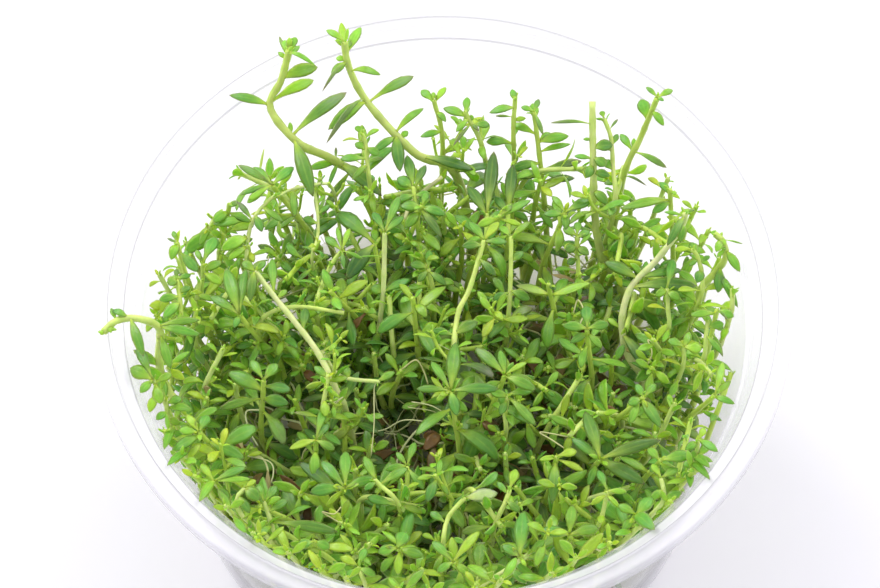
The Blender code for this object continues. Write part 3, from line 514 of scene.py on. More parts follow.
class FoliageSettings(bpy.types.PropertyGroup):
    """The sprigs and their leaves."""

    seed: IntProperty(name="Seed", description="Changes where small things fall", default=5)
    fillers: IntProperty(
        name="Fillers", description="Small plants between the larger ones", default=165, min=0)
    stem_radius: FloatProperty(
        name="Stem radius", description="Radius of a stem at its foot", default=0.62 * MM,
        unit="LENGTH", subtype="DISTANCE")
    leaf_width: FloatProperty(
        name="Leaf width", description="Width of a leaf as a share of its length",
        default=0.32, subtype="FACTOR")
    leaf_thickness: FloatProperty(
        name="Leaf thickness", description="Thickness of a leaf along its middle",
        default=0.17 * MM, unit="LENGTH", subtype="DISTANCE")
    # A leaf's tone picks among the young, grown and old colours by its age, and also by the painted
    # shade deep in the mound and the painted light beside the wall.
    young: FloatVectorProperty(
        name="Young leaf", description="Colour of the leaves at a tip", subtype="COLOR",
        size=3, default=(0.31, 0.60, 0.028))
    grown: FloatVectorProperty(
        name="Grown leaf", description="Colour of the middle leaves", subtype="COLOR",
        size=3, default=(0.125, 0.345, 0.024))
    old: FloatVectorProperty(
        name="Old leaf", description="Colour of the lowest leaves", subtype="COLOR", size=3,
        default=(0.046, 0.130, 0.017))
    underside: FloatVectorProperty(
        name="Underside", description="Colour under a leaf", subtype="COLOR", size=3,
        default=(0.30, 0.54, 0.09))
    stem: FloatVectorProperty(
        name="Stem", description="Colour of a green stem", subtype="COLOR", size=3,
        default=(0.58, 0.80, 0.085))
    pale_stem: FloatVectorProperty(
        name="Pale stem", description="Colour of a blanched stem", subtype="COLOR", size=3,
        default=(0.84, 0.90, 0.46))
    root: FloatVectorProperty(
        name="Root", description="Colour of the roots", subtype="COLOR", size=3,
        default=(0.60, 0.60, 0.24))
    dead: FloatVectorProperty(
        name="Dead leaf", description="Colour of the fallen brown leaves", subtype="COLOR",
        size=3, default=(0.16, 0.06, 0.010))


class JellySettings(bpy.types.PropertyGroup):
    """The growing jelly."""

    colour: FloatVectorProperty(
        name="Colour", description="Colour of the jelly", subtype="COLOR", size=3,
        default=(0.72, 0.72, 0.63))


class StageSettings(bpy.types.PropertyGroup):
    """The floor, the light and the camera."""

    distance: FloatProperty(
        name="Camera distance", description="From the middle of the rim", default=0.420,
        unit="LENGTH", subtype="DISTANCE")
    elevation: FloatProperty(
        name="Elevation", description="Camera's height above the horizon",
        default=math.radians(60.7), subtype="ANGLE")
    roll: FloatProperty(
        name="Roll", description="Tilt of the picture", default=math.radians(0.72),
        subtype="ANGLE")
    lens: FloatProperty(
        name="Lens", description="Focal length in millimetres", default=116.14)
    key: FloatProperty(
        name="Soft lights", description="Power of the large soft lights, in watts", default=1.95)
    sky: FloatProperty(
        name="Sky", description="Strength of the light from all round", default=0.86)


class LudwigiaSettings(bpy.types.PropertyGroup):
    """Everything that can be changed."""

    cup: PointerProperty(type=CupSettings)
    foliage: PointerProperty(type=FoliageSettings)
    jelly: PointerProperty(type=JellySettings)
    stage: PointerProperty(type=StageSettings)


def settings():
    return bpy.context.scene.ludwigia


# Places and paths

# The inside of the cup in millimetres: the wall's radius at the foot and at the shoulder, how much
# it widens between them, the height where it starts and how far it ends under the rim, and the
# radius of the ledge and of the collar above it.
FOOT_RADIUS, SHOULDER_RADIUS, WALL_SPREAD = 40.2, 46.1, 5.2
WALL_START, WALL_LOSS, LEDGE_RADIUS, COLLAR_RADIUS = 4, 11.5, 47.5, 49.3
JELLY_CROWN = 0.4 * MM
CROWN_REACH = 58.5 * MM


def jelly_top(radius=0.0):
    return JELLY_BOX[1][2] - JELLY_CROWN + JELLY_CROWN * max(0.0, 1 - radius / CROWN_REACH)


def smooth_path(controls):
    """Many points on a Catmull-Rom curve through the control points."""
    ends = [2 * controls[0] - controls[1], *controls, 2 * controls[-1] - controls[-2]]
    path, steps = [], 24
    for a, b, c, d in zip(ends, ends[1:], ends[2:], ends[3:]):
        for step in range(steps):
            t = step / steps
            path.append(
                0.5 * ((2 * b) + (c - a) * t + (2 * a - 5 * b + 4 * c - d) * t * t
                       + (3 * b - a - 3 * c + d) * t * t * t))
    path.append(controls[-1])
    return path


def stem_foot(x, y):
    foot = Vector((x * MM, y * MM, 0))
    foot.z = jelly_top(foot.length) + 0.3 * MM
    return foot


def camera_frame():
    """The rim's middle, the camera's back and up directions, and its focal length in points."""
    stage = settings().stage
    c, s = math.cos(stage.elevation), math.sin(stage.elevation)
    rim = np.array([0, 0, settings().cup.height])
    return rim, np.array([0, -c, s]), np.array([0, s, c]), stage.lens / SENSOR * PICTURE[0]


def seen_point(u, v, height):
    """The place, at a height in metres, that shows at a point of the picture."""
    stage = settings().stage
    rim, back, up, focal = camera_frame()
    x, y = u - PICTURE[0] / 2 - SHIFT[0], PICTURE[1] / 2 + SHIFT[1] - v
    c, s = math.cos(stage.roll), math.sin(stage.roll)
    x, y = c * x + s * y, c * y - s * x
    eye = rim + back * stage.distance
    ray = np.array([x / focal, 0, 0]) + up * y / focal - back
    return eye + ray * ((height - eye[2]) / ray[2])


def picture_points(points):
    """Where points show in the picture."""
    stage = settings().stage
    rim, back, up, focal = camera_frame()
    gap = np.asarray(points) - rim - back * stage.distance
    x, y = focal * gap[:, 0] / -(gap @ back), focal * (gap @ up) / -(gap @ back)
    c, s = math.cos(stage.roll), math.sin(stage.roll)
    return np.stack([PICTURE[0] / 2 + SHIFT[0] + c * x - s * y,
                     PICTURE[1] / 2 + SHIFT[1] - s * x - c * y], axis=1)


def wall_radius(z):
    """The cup's inner radius at height z."""
    height = settings().cup.height
    if z > height - 7.5 * MM:
        return SHOULDER_RADIUS * MM
    rise = max(0.0, z - WALL_START * MM)
    return (FOOT_RADIUS + WALL_SPREAD * rise / (height - WALL_LOSS * MM)) * MM


def keep_in(point, margin):
    """Moves a point of a stem inwards, where it is nearer to the wall than the margin."""
    limit = wall_radius(point.z) - margin
    if point.xy.length > limit:
        point.xy = point.xy * (limit / point.xy.length)


def short_path(foot, tip, draw):
    start = stem_foot(*foot)
    end = Vector(tip) * MM
    side = draw.uniform(0, 2 * math.pi)
    bow = SHORT_BOW * (end - start).length * draw.uniform(0.3, 1.0)
    middle = start.lerp(end, 0.5) + Vector((math.cos(side), math.sin(side), 0)) * bow
    keep_in(middle, 4 * MM)
    return smooth_path([start, middle, end])


class Route:
    """A path measured from its tip, with its direction at each point."""

    def __init__(self, path):
        points = np.array([tuple(point) for point in path])[::-1]
        steps = np.linalg.norm(np.diff(points, axis=0), axis=1)
        keep = np.concatenate([[True], steps > 1e-9])
        self.points = points[keep]
        steps = np.linalg.norm(np.diff(self.points, axis=0), axis=1)
        self.below = np.concatenate([[0], np.cumsum(steps)])
        self.length = float(self.below[-1])

    def at(self, distance):
        return np.array([np.interp(distance, self.below, line) for line in self.points.T]).T

    def along(self, distance):
        reach = 0.5 * MM
        way = self.at(max(0.0, distance - reach)) - self.at(min(self.length, distance + reach))
        return way / max(1e-9, np.linalg.norm(way))


# Meshes


def new_piece(name, points, faces, values):
    """A smooth mesh in the scene, with shading values on its points."""
    mesh = bpy.data.meshes.new(name)
    mesh.from_pydata(points, [], faces)
    for key, value in values.items():
        layer = mesh.attributes.new(key, "FLOAT", "POINT")
        layer.data.foreach_set("value", value.astype(np.float32))
    mesh.polygons.foreach_set("use_smooth", np.ones(len(faces), bool))
    mesh.update()
    made = bpy.data.objects.new(name, mesh)
    bpy.context.scene.collection.objects.link(made)
    return made


class Growth:
    """Gathers the faces and the shading values of one piece before it becomes a mesh."""

    VALUES = ("across", "along", "tone", "vary", "under", "blush")

    def __init__(self, name):
        self.name = name
        self.points, self.faces, self.slots = [], [], []
        self.values = {key: [] for key in self.VALUES}
        self.count = 0

    def add(self, points, faces, slot, **values):
        points = np.asarray(points, float).reshape(-1, 3)
        for key in self.VALUES:
            value = np.broadcast_to(np.asarray(values.get(key, 0.0), float), (len(points),))
            self.values[key].append(value)
        self.points.append(points)
        start = self.count
        self.faces += [tuple(start + i for i in face) for face in faces]
        self.slots += [slot] * len(faces)
        self.count += len(points)

    def piece(self, *looks):
        values = {key: np.concatenate(value) for key, value in self.values.items()}
        made = new_piece(self.name, np.concatenate(self.points).tolist(), self.faces, values)
        for look in looks:
            made.data.materials.append(material(look))
        made.data.polygons.foreach_set("material_index", np.array(self.slots, np.int32))
        return made


def ring_faces(rings, sides, capped=True):
    """Faces of a closed tube of rings, whose first and last points are the ends' middles."""
    faces = []
    for ring in range(rings - 1):
        for side in range(sides):
            a = 1 + ring * sides + side
            b = 1 + ring * sides + (side + 1) % sides
            faces.append((a, b, b + sides, a + sides))
    if capped:
        last = 1 + (rings - 1) * sides
        faces += [(0, 1 + (side + 1) % sides, 1 + side) for side in range(sides)]
        faces += [(last + sides, last + side, last + (side + 1) % sides) for side in range(sides)]
    return faces


# A leaf is a closed tube: rings at these shares of its length, with these places across each
# ring, on the upper side, 1, the lower side, -1, or the edge, 0. Very small leaves have fewer.
LEAF_STATIONS = np.array([0.0, 0.12, 0.28, 0.44, 0.60, 0.76, 0.92])
# Half the width of a leaf along its length.
LEAF_OUTLINE = ([0.0, 0.1, 0.2, 0.32, 0.46, 0.6, 0.72, 0.84, 0.93, 1.0],
                [0.24, 0.24, 0.37, 0.66, 0.92, 1.0, 0.93, 0.70, 0.40, 0.0])
LEAF_ACROSS = np.array([-1.0, -0.55, 0.0, 0.55, 1.0, 0.5, 0.0, -0.5])
LEAF_SIDE = np.array([0.0, 1.0, 1.0, 1.0, 0.0, -1.0, -1.0, -1.0])
LEAF_FACES = ring_faces(len(LEAF_STATIONS), len(LEAF_ACROSS))
SMALL_STATIONS = np.array([0.0, 0.22, 0.5, 0.8])
SMALL_ACROSS = np.array([-1.0, 0.0, 1.0, 0.0])
SMALL_SIDE = np.array([0.0, 1.0, 0.0, -1.0])
SMALL_FACES = ring_faces(len(SMALL_STATIONS), len(SMALL_ACROSS))


def crossed(a, b):
    """The cross product of two single vectors."""
    return np.array([a[1] * b[2] - a[2] * b[1], a[2] * b[0] - a[0] * b[2],
                     a[0] * b[1] - a[1] * b[0]])


class Leaf:
    """One leaf's middle line, from its root on the stem to its point, with the frame along it."""

    def __init__(self, root, along, outward, length, width, pitch, curl, yaw=0.0, twist=0.0,
                 bend=0.0, light=0.35, belly=1.0, small=False):
        self.small = small
        self.stations = SMALL_STATIONS if small else LEAF_STATIONS
        t = np.append(self.stations, 1.0)
        side = crossed(along, outward)
        outward = outward * math.cos(yaw) + side * math.sin(yaw)
        angle = pitch + curl * t ** 1.6
        way = np.cos(angle)[:, None] * along + np.sin(angle)[:, None] * outward
        steps = np.diff(t)[:, None] * length * 0.5 * (way[1:] + way[:-1])
        across = crossed(outward, along)
        up = np.sin(angle)[:, None] * along - np.cos(angle)[:, None] * outward
        turn = self.light_turn(way[-1], up[-1], across) * light
        self.middle = root + np.vstack([np.zeros(3), np.cumsum(steps, axis=0)])
        self.middle = self.middle + across * (bend * length * t ** 2)[:, None]
        self.spread(t, across, up, turn * np.clip(t / 0.4, 0, 1) + twist * t, width, belly)

    def spread(self, t, across, up, roll, width, belly):
        """Rolls the frame about the middle line and gives the leaf its width."""
        c, s = np.cos(roll)[:, None], np.sin(roll)[:, None]
        self.across = c * across + s * up
        self.up = c * up - s * across
        self.half_width = 0.5 * width * np.interp(t ** belly, *LEAF_OUTLINE)

    @staticmethod
    def light_turn(way, up, across):
        """The roll about the leaf's own line that would bring its face up to the light."""
        sky = np.array([0.0, 0.0, 1.0])
        sky = sky - way * way.dot(sky)
        if np.linalg.norm(sky) < 0.2:
            return 0.0
        return max(-1.2, min(1.2, math.atan2(-sky.dot(across), sky.dot(up))))

    @classmethod
    def reaching(cls, root, tip, width, bow, face, twist, belly):
        """A leaf from a root to a tip, arched towards its face."""
        made = cls.__new__(cls)
        made.small, made.stations = False, LEAF_STATIONS
        t = np.append(made.stations, 1.0)
        root, tip, face = (np.asarray(value, float) for value in (root, tip, face))
        span = tip - root
        length = float(np.linalg.norm(span))
        face = face - span * face.dot(span) / length ** 2
        face /= np.linalg.norm(face)
        arch = bow * length * np.sin(np.pi * t ** 0.8)
        made.middle = root + t[:, None] * span + arch[:, None] * face
        way = np.gradient(made.middle, t, axis=0)
        way /= np.linalg.norm(way, axis=1)[:, None]
        across = np.cross(way, face)
        across /= np.linalg.norm(across, axis=1)[:, None]
        made.spread(t, across, np.cross(across, way), twist * t, width, belly)
        return made

    def samples(self):
        """Points that stand for the leaf when it is tried against its neighbours."""
        half = len(self.middle) // 2 + 1
        reach = self.across[half] * self.half_width[half] * 0.8
        return np.vstack([self.middle[1:], [self.middle[half] + reach, self.middle[half] - reach]])

    def grow(self, into, thickness, tone, vary, blush=0.0, keel=0.20, edge=0.17):
        """Adds the leaf to a piece, folded by the keel and turned down at its edge."""
        across, side = (SMALL_ACROSS, SMALL_SIDE) if self.small else (LEAF_ACROSS, LEAF_SIDE)
        width = self.half_width[:-1, None]
        shape = keel * np.abs(across) - edge * np.abs(across) ** 3
        swell = 0.5 * thickness * (1 - across ** 2) * side
        swell = swell - 0.16 * thickness * (side < 0) * (across == 0)
        taper = np.clip(width / self.half_width.max() * 1.6, 0.55, 1.0)
        lift = width * shape[None, :] + swell[None, :] * taper
        points = (self.middle[:-1, None, :]
                  + self.across[:-1, None, :] * (width * across)[:, :, None]
                  + self.up[:-1, None, :] * lift[:, :, None])
        count = len(self.stations)
        points = np.vstack([self.middle[:1], points.reshape(-1, 3), self.middle[-1:]])
        spread = np.concatenate([[0], np.tile(across, count), [0]])
        reach = np.concatenate([[0], np.repeat(self.stations, len(across)), [1]])
        under = np.concatenate([[0], np.tile((side < 0).astype(float), count), [0.5]])
        into.add(points, SMALL_FACES if self.small else LEAF_FACES, 0, across=spread,
                 along=reach, tone=tone, vary=vary, under=under, blush=blush)


def tube(into, points, radii, slot, sides=7, **values):
    """A round stem or fibre through the points, with its ends closed."""
    points, radii = np.asarray(points, float), np.asarray(radii, float)
    ways = np.gradient(points, axis=0)
    ways /= np.maximum(np.linalg.norm(ways, axis=1), 1e-12)[:, None]
    side = np.cross(ways[0], [0.31, 0.87, 0.39])
    side /= np.linalg.norm(side)
    rings, turn = [], np.arange(sides) * 2 * np.pi / sides
    for point, way, radius in zip(points, ways, radii):
        side = side - way * way.dot(side)
        side /= np.linalg.norm(side)
        other = np.cross(way, side)
        ring = np.cos(turn)[:, None] * side + np.sin(turn)[:, None] * other
        rings.append(point + radius * ring)
    body = np.vstack([points[:1], *rings, points[-1:]])
    spread = {}
    for key, value in values.items():
        value = np.broadcast_to(np.asarray(value, float), (len(points),))
        spread[key] = np.concatenate([value[:1], np.repeat(value, sides), value[-1:]])
    into.add(body, ring_faces(len(points), sides), slot, **spread)


# The size of the leaves of each pair below the tip, as a share of a full leaf.
GROWTH = (0.14, 0.32, 0.62, 0.86, 1.0)

# How much room a leaf takes, how much a new one asks for, and a stem's room, each a radius.
LEAF_ROOM, NEW_LEAF_ROOM, STEM_ROOM = 0.30 * MM, 0.34 * MM, 0.35 * MM

# The height of a stem that is as thick at its foot as the setting says.
TALL = 30 * MM


# Room between the leaves

AROUND = [(i, j, k) for i in (-1, 0, 1) for j in (-1, 0, 1) for k in (-1, 0, 1)]
GAP_TABLE = np.array(GAPS + [(u, v, 4.5) for u, v in OPEN_STEMS], float)


class Room:
    """Remembers what is already grown, so that new leaves keep clear of it."""

    CELL = 1.1 * MM

    def __init__(self):
        self.cells = {}

    def put(self, points, owner, reach):
        keys = np.floor(np.asarray(points) / self.CELL).astype(int).tolist()
        for key, point in zip(keys, np.asarray(points).tolist()):
            self.cells.setdefault(tuple(key), []).append((*point, owner, reach))

    def clear(self, points, owner, reach):
        """Whether points keep their distance from everything that another owner has put here."""
        keys = np.floor(points / self.CELL).astype(int).tolist()
        for (i, j, k), (x, y, z) in zip(keys, points.tolist()):
            for di, dj, dk in AROUND:
                for px, py, pz, who, wide in self.cells.get((i + di, j + dj, k + dk), ()):
                    if who != owner:
                        gap = (x - px) ** 2 + (y - py) ** 2 + (z - pz) ** 2
                        if gap < (reach + wide) ** 2:
                            return False
        return True

    @staticmethod
    def inside(points):
        """Whether points keep off the wall, the rim and the jelly, and inside the solid's box."""
        cup, points = settings().cup, np.asarray(points)
        height, radius = points[:, 2], np.hypot(points[:, 0], points[:, 1])
        if height.min() < jelly_top() + 0.8 * MM or height.max() > CAD_BOX[1][2] + 1.2 * MM:
            return False
        rise = height - WALL_START * MM
        wall = FOOT_RADIUS * MM + WALL_SPREAD * MM * rise / (cup.height - WALL_LOSS * MM)
        shoulder, collar, over_rim, margin = 7.4 * MM, 2.4 * MM, 0.5 * MM, 0.25 * MM
        leaning = SHOULDER_RADIUS * MM + (height - cup.height + shoulder) * 0.3
        wall = np.where(height > cup.height - shoulder, leaning, wall)
        wall = np.where(height > cup.height - collar, COLLAR_RADIUS * MM, wall)
        wall = np.where(height > cup.height + over_rim, cup.rim_radius, wall) - margin
        return bool((radius < wall).all())

    @staticmethod
    def in_gap(points):
        """Whether points show in one of the gaps between the plants."""
        x, y = picture_points(points).T[:, :, None]
        apart = np.hypot(x - GAP_TABLE[:, 0], y - GAP_TABLE[:, 1])
        return bool((apart < GAP_TABLE[:, 2]).any())


# How far out the mound reaches, and how far to the front the painted light has faded, in
# millimetres.
MOUND_RADIUS, LIGHT_FADES = 44, 30


def painted_wall_light(place):
    """How much paler the leaves are painted, as light through the wall: none in the middle or at
    the front.
    """
    x, y = place[0] / MM, place[1] / MM
    return ((x * x + y * y) / MOUND_RADIUS ** 2) ** 2 * min(1.0, max(0.0, 1 + y / LIGHT_FADES))


class Gardener:
    """Grows stems, leaves and side shoots, one sprig at a time."""

    # How far below its tip a sprig's leaves age, how far under the mound's top the painted shade is
    # darkest, and the middle and the reach of the painted shade in the mound's heart. All but the
    # first are in millimetres.
    AGEING, DARKEST_DEPTH, HEART_Y, HEART_REACH = 11 * MM, 16, -8, 20

    def __init__(self, seed):
        self.draw = random.Random(seed)
        self.room = Room()
        self.owner = 0
        self.stems = []

    def stem_radius(self, share):
        foot = settings().foliage.stem_radius
        return foot * (0.55 + 0.45 * share)

    def stem(self, into, route, nodes, pale, scale=1.0, sink=1.6 * MM, reserve=True, cut=False):
        """The stem, swollen a little at each pair of leaves, from its tip down into the jelly."""
        even = np.linspace(0, route.length, max(6, int(route.length / (1.2 * MM))))
        below = np.array(sorted({*even, *(d for d in nodes if d < route.length)}))
        points = route.at(below)
        near = np.min(np.abs(below[:, None] - np.array(nodes)[None, :]), axis=1)
        radii = np.array([self.stem_radius(d / max(route.length, TALL)) for d in below]) * scale
        radii = radii * (1 + 0.16 * np.exp(-(near / (0.6 * MM)) ** 2))
        radii[0] *= 1.2 if cut else 0.6
        if sink:
            points = np.vstack([points, points[-1] - [0, 0, sink]])
            radii = np.append(radii, radii[-1] * 0.8)
            near = np.append(near, 2 * MM)
            below = np.append(below, route.length + sink)
        self.stems.append(points)
        tube(into, points, radii, 1, along=np.clip(near / (2.5 * MM), 0, 1), tone=pale,
             vary=self.draw.random(), across=below / (40 * MM))
        if reserve:
            self.reserve(route)

    def nearest_stem(self, place):
        """The point of any stem that is nearest to a place."""
        stems = np.vstack(self.stems)
        return stems[int(np.argmin(np.linalg.norm(stems - place, axis=1)))]

    def reserve(self, route):
        samples = route.at(np.arange(0, route.length, 0.8 * MM))
        self.room.put(samples, ("stem", self.owner), STEM_ROOM)

    def nodes(self, length, leaf_length, stretch=1.0):
        """How far below the tip the pairs stand, crowded near it and wide apart further down."""
        distances, below, step = [], 0.2 * MM, 0.40 * MM
        while below < length:
            distances.append(below)
            below += step * self.draw.uniform(0.85, 1.15)
            step = min(step * 2.2, 0.74 * leaf_length * stretch)
        return distances

    def leaf_pair(self, into, route, distance, order, turn, leaf_length, tone, shoots=0.0):
        """Two leaves that face each other. One with no room is tried again, a little shorter."""
        draw, style = self.draw, settings().foliage
        centre, along = route.at(distance), route.along(distance)
        flat = crossed(along, (0.23, -0.31, 0.92))
        flat /= np.linalg.norm(flat)
        outward = flat * math.cos(turn) + crossed(along, flat) * math.sin(turn)
        grown = GROWTH[min(order, len(GROWTH) - 1)]
        radius = self.stem_radius(distance / max(route.length, TALL))
        last_attempt = 5
        for side in (1, -1):
            for attempt in range(last_attempt + 1):
                length = leaf_length * grown * draw.uniform(0.82, 1.12) * 0.93 ** attempt
                width = length * style.leaf_width * draw.uniform(0.85, 1.18)
                if order < 3:
                    width *= 1.15
                pitch = math.radians(min(76, 12 + 18 * order + draw.uniform(-10, 10)))
                curl = math.radians(draw.uniform(-12, 74) + 6 * min(order, 4))
                leaf = Leaf(centre + outward * side * radius * 0.55, along, outward * side,
                            length, width, pitch * (1 - 0.06 * attempt), curl,
                            yaw=draw.uniform(-0.16, 0.16) * (1 + 0.8 * attempt),
                            twist=draw.uniform(-0.8, 0.8), bend=draw.uniform(-0.13, 0.13),
                            belly=draw.uniform(0.75, 1.25), small=length < 1.5 * MM)
                samples = leaf.samples()
                if not self.room.inside(samples) or self.room.in_gap(samples):
                    continue
                free = self.room.clear(samples[2:], self.owner, NEW_LEAF_ROOM)
                if attempt < last_attempt and not free:
                    continue
                if attempt == last_attempt and order > 4:
                    break
                self.room.put(samples, self.owner, LEAF_ROOM)
                shade = min(1.0, max(0.0, tone + draw.uniform(-0.12, 0.14)))
                blush = draw.uniform(0.2, 0.8) if order > 2 and draw.random() < 0.1 else 0.0
                leaf.grow(into, style.leaf_thickness, shade, draw.random(), blush,
                          keel=draw.uniform(0.12, 0.5))
                break
            if shoots and draw.random() < shoots and order >= 4:
                self.side_shoot(into, centre, along, outward * side, leaf_length, tone)

    def seen_leaves(self, into, route, leaves):
        """Grows the leaves that can be made out in the picture. Returns how far down they start."""
        draw, style = self.draw, settings().foliage
        below = np.arange(0, route.length, 0.3 * MM)
        stem = route.at(below)
        shown = picture_points(stem)
        lowest, point_size = 0.0, 0.148
        for u, v, tip_u, tip_v, width, *look in leaves:
            tone, bow, blush = (*look, *(0.3, 0.12, 0.0)[len(look):])
            nearest = int(np.argmin(np.hypot(shown[:, 0] - u, shown[:, 1] - v)))
            root = stem[nearest]
            lowest = max(lowest, below[nearest])
            for lift in (0, 1, -1, 2, -2, 3, -3, *range(4, 17)):
                tip = seen_point(tip_u, tip_v, root[2] + (0.2 + 0.5 * lift) * MM)
                leaf = Leaf.reaching(root, tip, width * point_size * MM * 1.1, bow * 1.25,
                                     (0, -0.25, 1), draw.uniform(-0.3, 0.3),
                                     draw.uniform(0.8, 1.2))
                if self.room.inside(leaf.samples()):
                    break
            else:
                continue
            self.room.put(leaf.samples(), self.owner, LEAF_ROOM)
            tone = tone if tone < 0.2 else min(1.0, 0.28 + 0.62 * tone + 0.35 * tone * tone)
            # Beside the wall a leaf is painted paler, as light.
            if tone > 0.2:
                tone -= 0.2 * min(1.0, painted_wall_light(root))
            leaf.grow(into, style.leaf_thickness, tone, 0.8 * draw.random(), blush,
                      keel=draw.uniform(0.15, 0.4))
        return lowest

    def side_shoot(self, into, centre, along, outward, leaf_length, tone):
        """A small shoot in the corner between a leaf and the stem."""
        draw = self.draw
        reach = draw.choice([1.6, 2.4, 4.5, 7.0]) * MM * draw.uniform(0.8, 1.2)
        lean = along * 0.75 + outward * 0.66
        lean /= np.linalg.norm(lean)
        tip = centre + lean * reach + np.array([0, 0, 0.25 * reach])
        middle = centre + lean * 0.55 * reach + outward * 0.08 * reach
        ends = np.array([middle, tip])
        if not self.room.inside(ends) or not self.room.clear(ends[1:], self.owner, 0.8 * MM):
            return
        route = Route(smooth_path([Vector(centre), Vector(middle), Vector(tip)]))
        spread = self.nodes(route.length * 0.9, 3.2 * MM)
        self.stem(into, route, spread, 0.1, scale=0.62, sink=0.0)
        turn = draw.uniform(0, math.pi)
        for order, distance in enumerate(spread):
            self.leaf_pair(into, route, distance, order, turn + order * math.pi / 2,
                           min(leaf_length, 2.2 * MM + 0.45 * reach), 0.10 + 0.03 * order)

    def sprig(self, into, route, leaf_length, pale=0.2, shoots=0.3, lowest=0.0, bare_tip=0.0,
              stretch=1.0, seen=None, girth=1.0):
        """A whole sprig: its stem, and pairs of leaves down to the lowest height."""
        self.owner += 1
        draw = self.draw
        start = self.seen_leaves(into, route, seen) + 2.4 * MM if seen is not None else 0.0
        spread = [bare_tip + d for d in self.nodes(route.length, leaf_length, stretch)]
        spread = [d for d in spread if d < route.length - 1 * MM] or [0.5 * MM]
        self.stem(into, route, spread, pale, scale=girth, reserve=False, cut=bare_tip > 0)
        turn = draw.uniform(0, math.pi)
        for order, distance in enumerate(spread):
            if bare_tip and order < 3:
                continue
            if distance < start and (order > 1 or bare_tip):
                continue
            if route.at(distance)[2] < lowest:
                break
            place = route.at(distance)
            x, y, z = place / MM
            age = 1 - math.exp(-distance / self.AGEING)
            # Deep under the mound's top and in its middle the leaves are painted darker, as shade.
            depth = (canopy_height(x, y) / MM - z) / self.DARKEST_DEPTH
            heart_shade = math.exp(-(x * x + (y - self.HEART_Y) ** 2) / self.HEART_REACH ** 2)
            # Beside the wall the leaves are painted paler, as light.
            tone = max(0.08 + 0.72 * age, min(0.95, depth)) - 0.3 * painted_wall_light(place)
            tone = max(0.04, tone + 0.2 * heart_shade)
            self.leaf_pair(into, route, distance, order, turn + order * math.pi / 2,
                           leaf_length, tone, shoots=shoots)


# Materials


def new_group(name, inputs, outputs):
    """An empty shader group with these sockets: (name, type, default)."""
    group = bpy.data.node_groups.new(name, "ShaderNodeTree")
    for label, kind, value in inputs:
        socket = group.interface.new_socket(name=label, in_out="INPUT", socket_type=kind)
        socket.default_value = value
    for label, kind in outputs:
        group.interface.new_socket(name=label, in_out="OUTPUT", socket_type=kind)
    return group


def feed(tree, made, values):
    """Sets inputs of a node to numbers, vectors or colours, or links them to sockets."""
    for key, value in values.items():
        socket = made.inputs[key]
        if isinstance(value, bpy.types.NodeSocket):
            tree.links.new(value, socket)
        else:
            socket.default_value = (*value[:3], 1) if socket.type == "RGBA" else value


def node(tree, kind, at=(0, 0), inputs=None, **values):
    made = tree.nodes.new(kind)
    made.location = at
    for key, value in values.items():
        setattr(made, key, value)
    feed(tree, made, inputs or {})
    return made


def maths(tree, operation, *values, clamp=False):
    """A Math node whose inputs are numbers or sockets. Returns its output."""
    return node(tree, "ShaderNodeMath", inputs=dict(enumerate(values)), operation=operation,
                use_clamp=clamp).outputs[0]


def blended(tree, factor, first, second, kind="MIX"):
    """A colour mix whose inputs are colours or sockets. Returns its output."""
    return node(tree, "ShaderNodeMix", inputs={0: factor, 6: first, 7: second},
                data_type="RGBA", blend_type=kind).outputs[2]


def cloud(tree, inputs, at=(0, 0)):
    """Soft noise. Returns its strength."""
    return node(tree, "ShaderNodeTexNoise", at, inputs).outputs["Fac"]


def object_place(tree, at=(0, 0)):
    return node(tree, "ShaderNodeTexCoord", at).outputs["Object"]


def value_of(tree, name):
    """A shading value that a piece carries on its points."""
    return node(tree, "ShaderNodeAttribute", attribute_name=name).outputs["Fac"]


def mottle_group():
    """Uneven colour and a fine grain, for everything that grows."""
    if "Living mottle" in bpy.data.node_groups:
        return bpy.data.node_groups["Living mottle"]
    tree = new_group(
        "Living mottle",
        [("Colour", "NodeSocketColor", (0.1, 0.3, 0.02, 1)),
         ("Patch size", "NodeSocketFloat", 900.0), ("Strength", "NodeSocketFloat", 0.2),
         ("Stretch", "NodeSocketVector", (1, 1, 1))],
        [("Colour", "NodeSocketColor"), ("Height", "NodeSocketFloat"),
         ("Roughness", "NodeSocketFloat")])
    do = functools.partial(maths, tree)
    given = node(tree, "NodeGroupInput", (-900, 0)).outputs
    place = node(tree, "ShaderNodeVectorMath", (-700, 300), operation="MULTIPLY", inputs={
        0: object_place(tree, (-900, 300)), 1: given["Stretch"]}).outputs[0]
    patches = cloud(tree, {"Vector": place, "Scale": given["Patch size"], "Detail": 3}, (-500, 300))
    fine_scale = do("MULTIPLY", given["Patch size"], 6.0)
    grain = cloud(tree, {"Vector": place, "Scale": fine_scale, "Detail": 2}, (-500, 0))
    swing = do("MULTIPLY_ADD", do("SUBTRACT", patches, 0.5),
               do("MULTIPLY", given["Strength"], 4.0), 1.0)
    swing = do("MULTIPLY_ADD", do("SUBTRACT", grain, 0.5), given["Strength"], swing)
    shade = node(tree, "ShaderNodeVectorMath", (300, 200), operation="SCALE", inputs={
        0: given["Colour"], "Scale": swing})
    feed(tree, node(tree, "NodeGroupOutput", (700, 0)), {
        "Colour": shade.outputs[0], "Height": do("MULTIPLY_ADD", patches, 0.4, grain),
        "Roughness": do("MULTIPLY_ADD", patches, 0.3, 0.26)})
    return tree


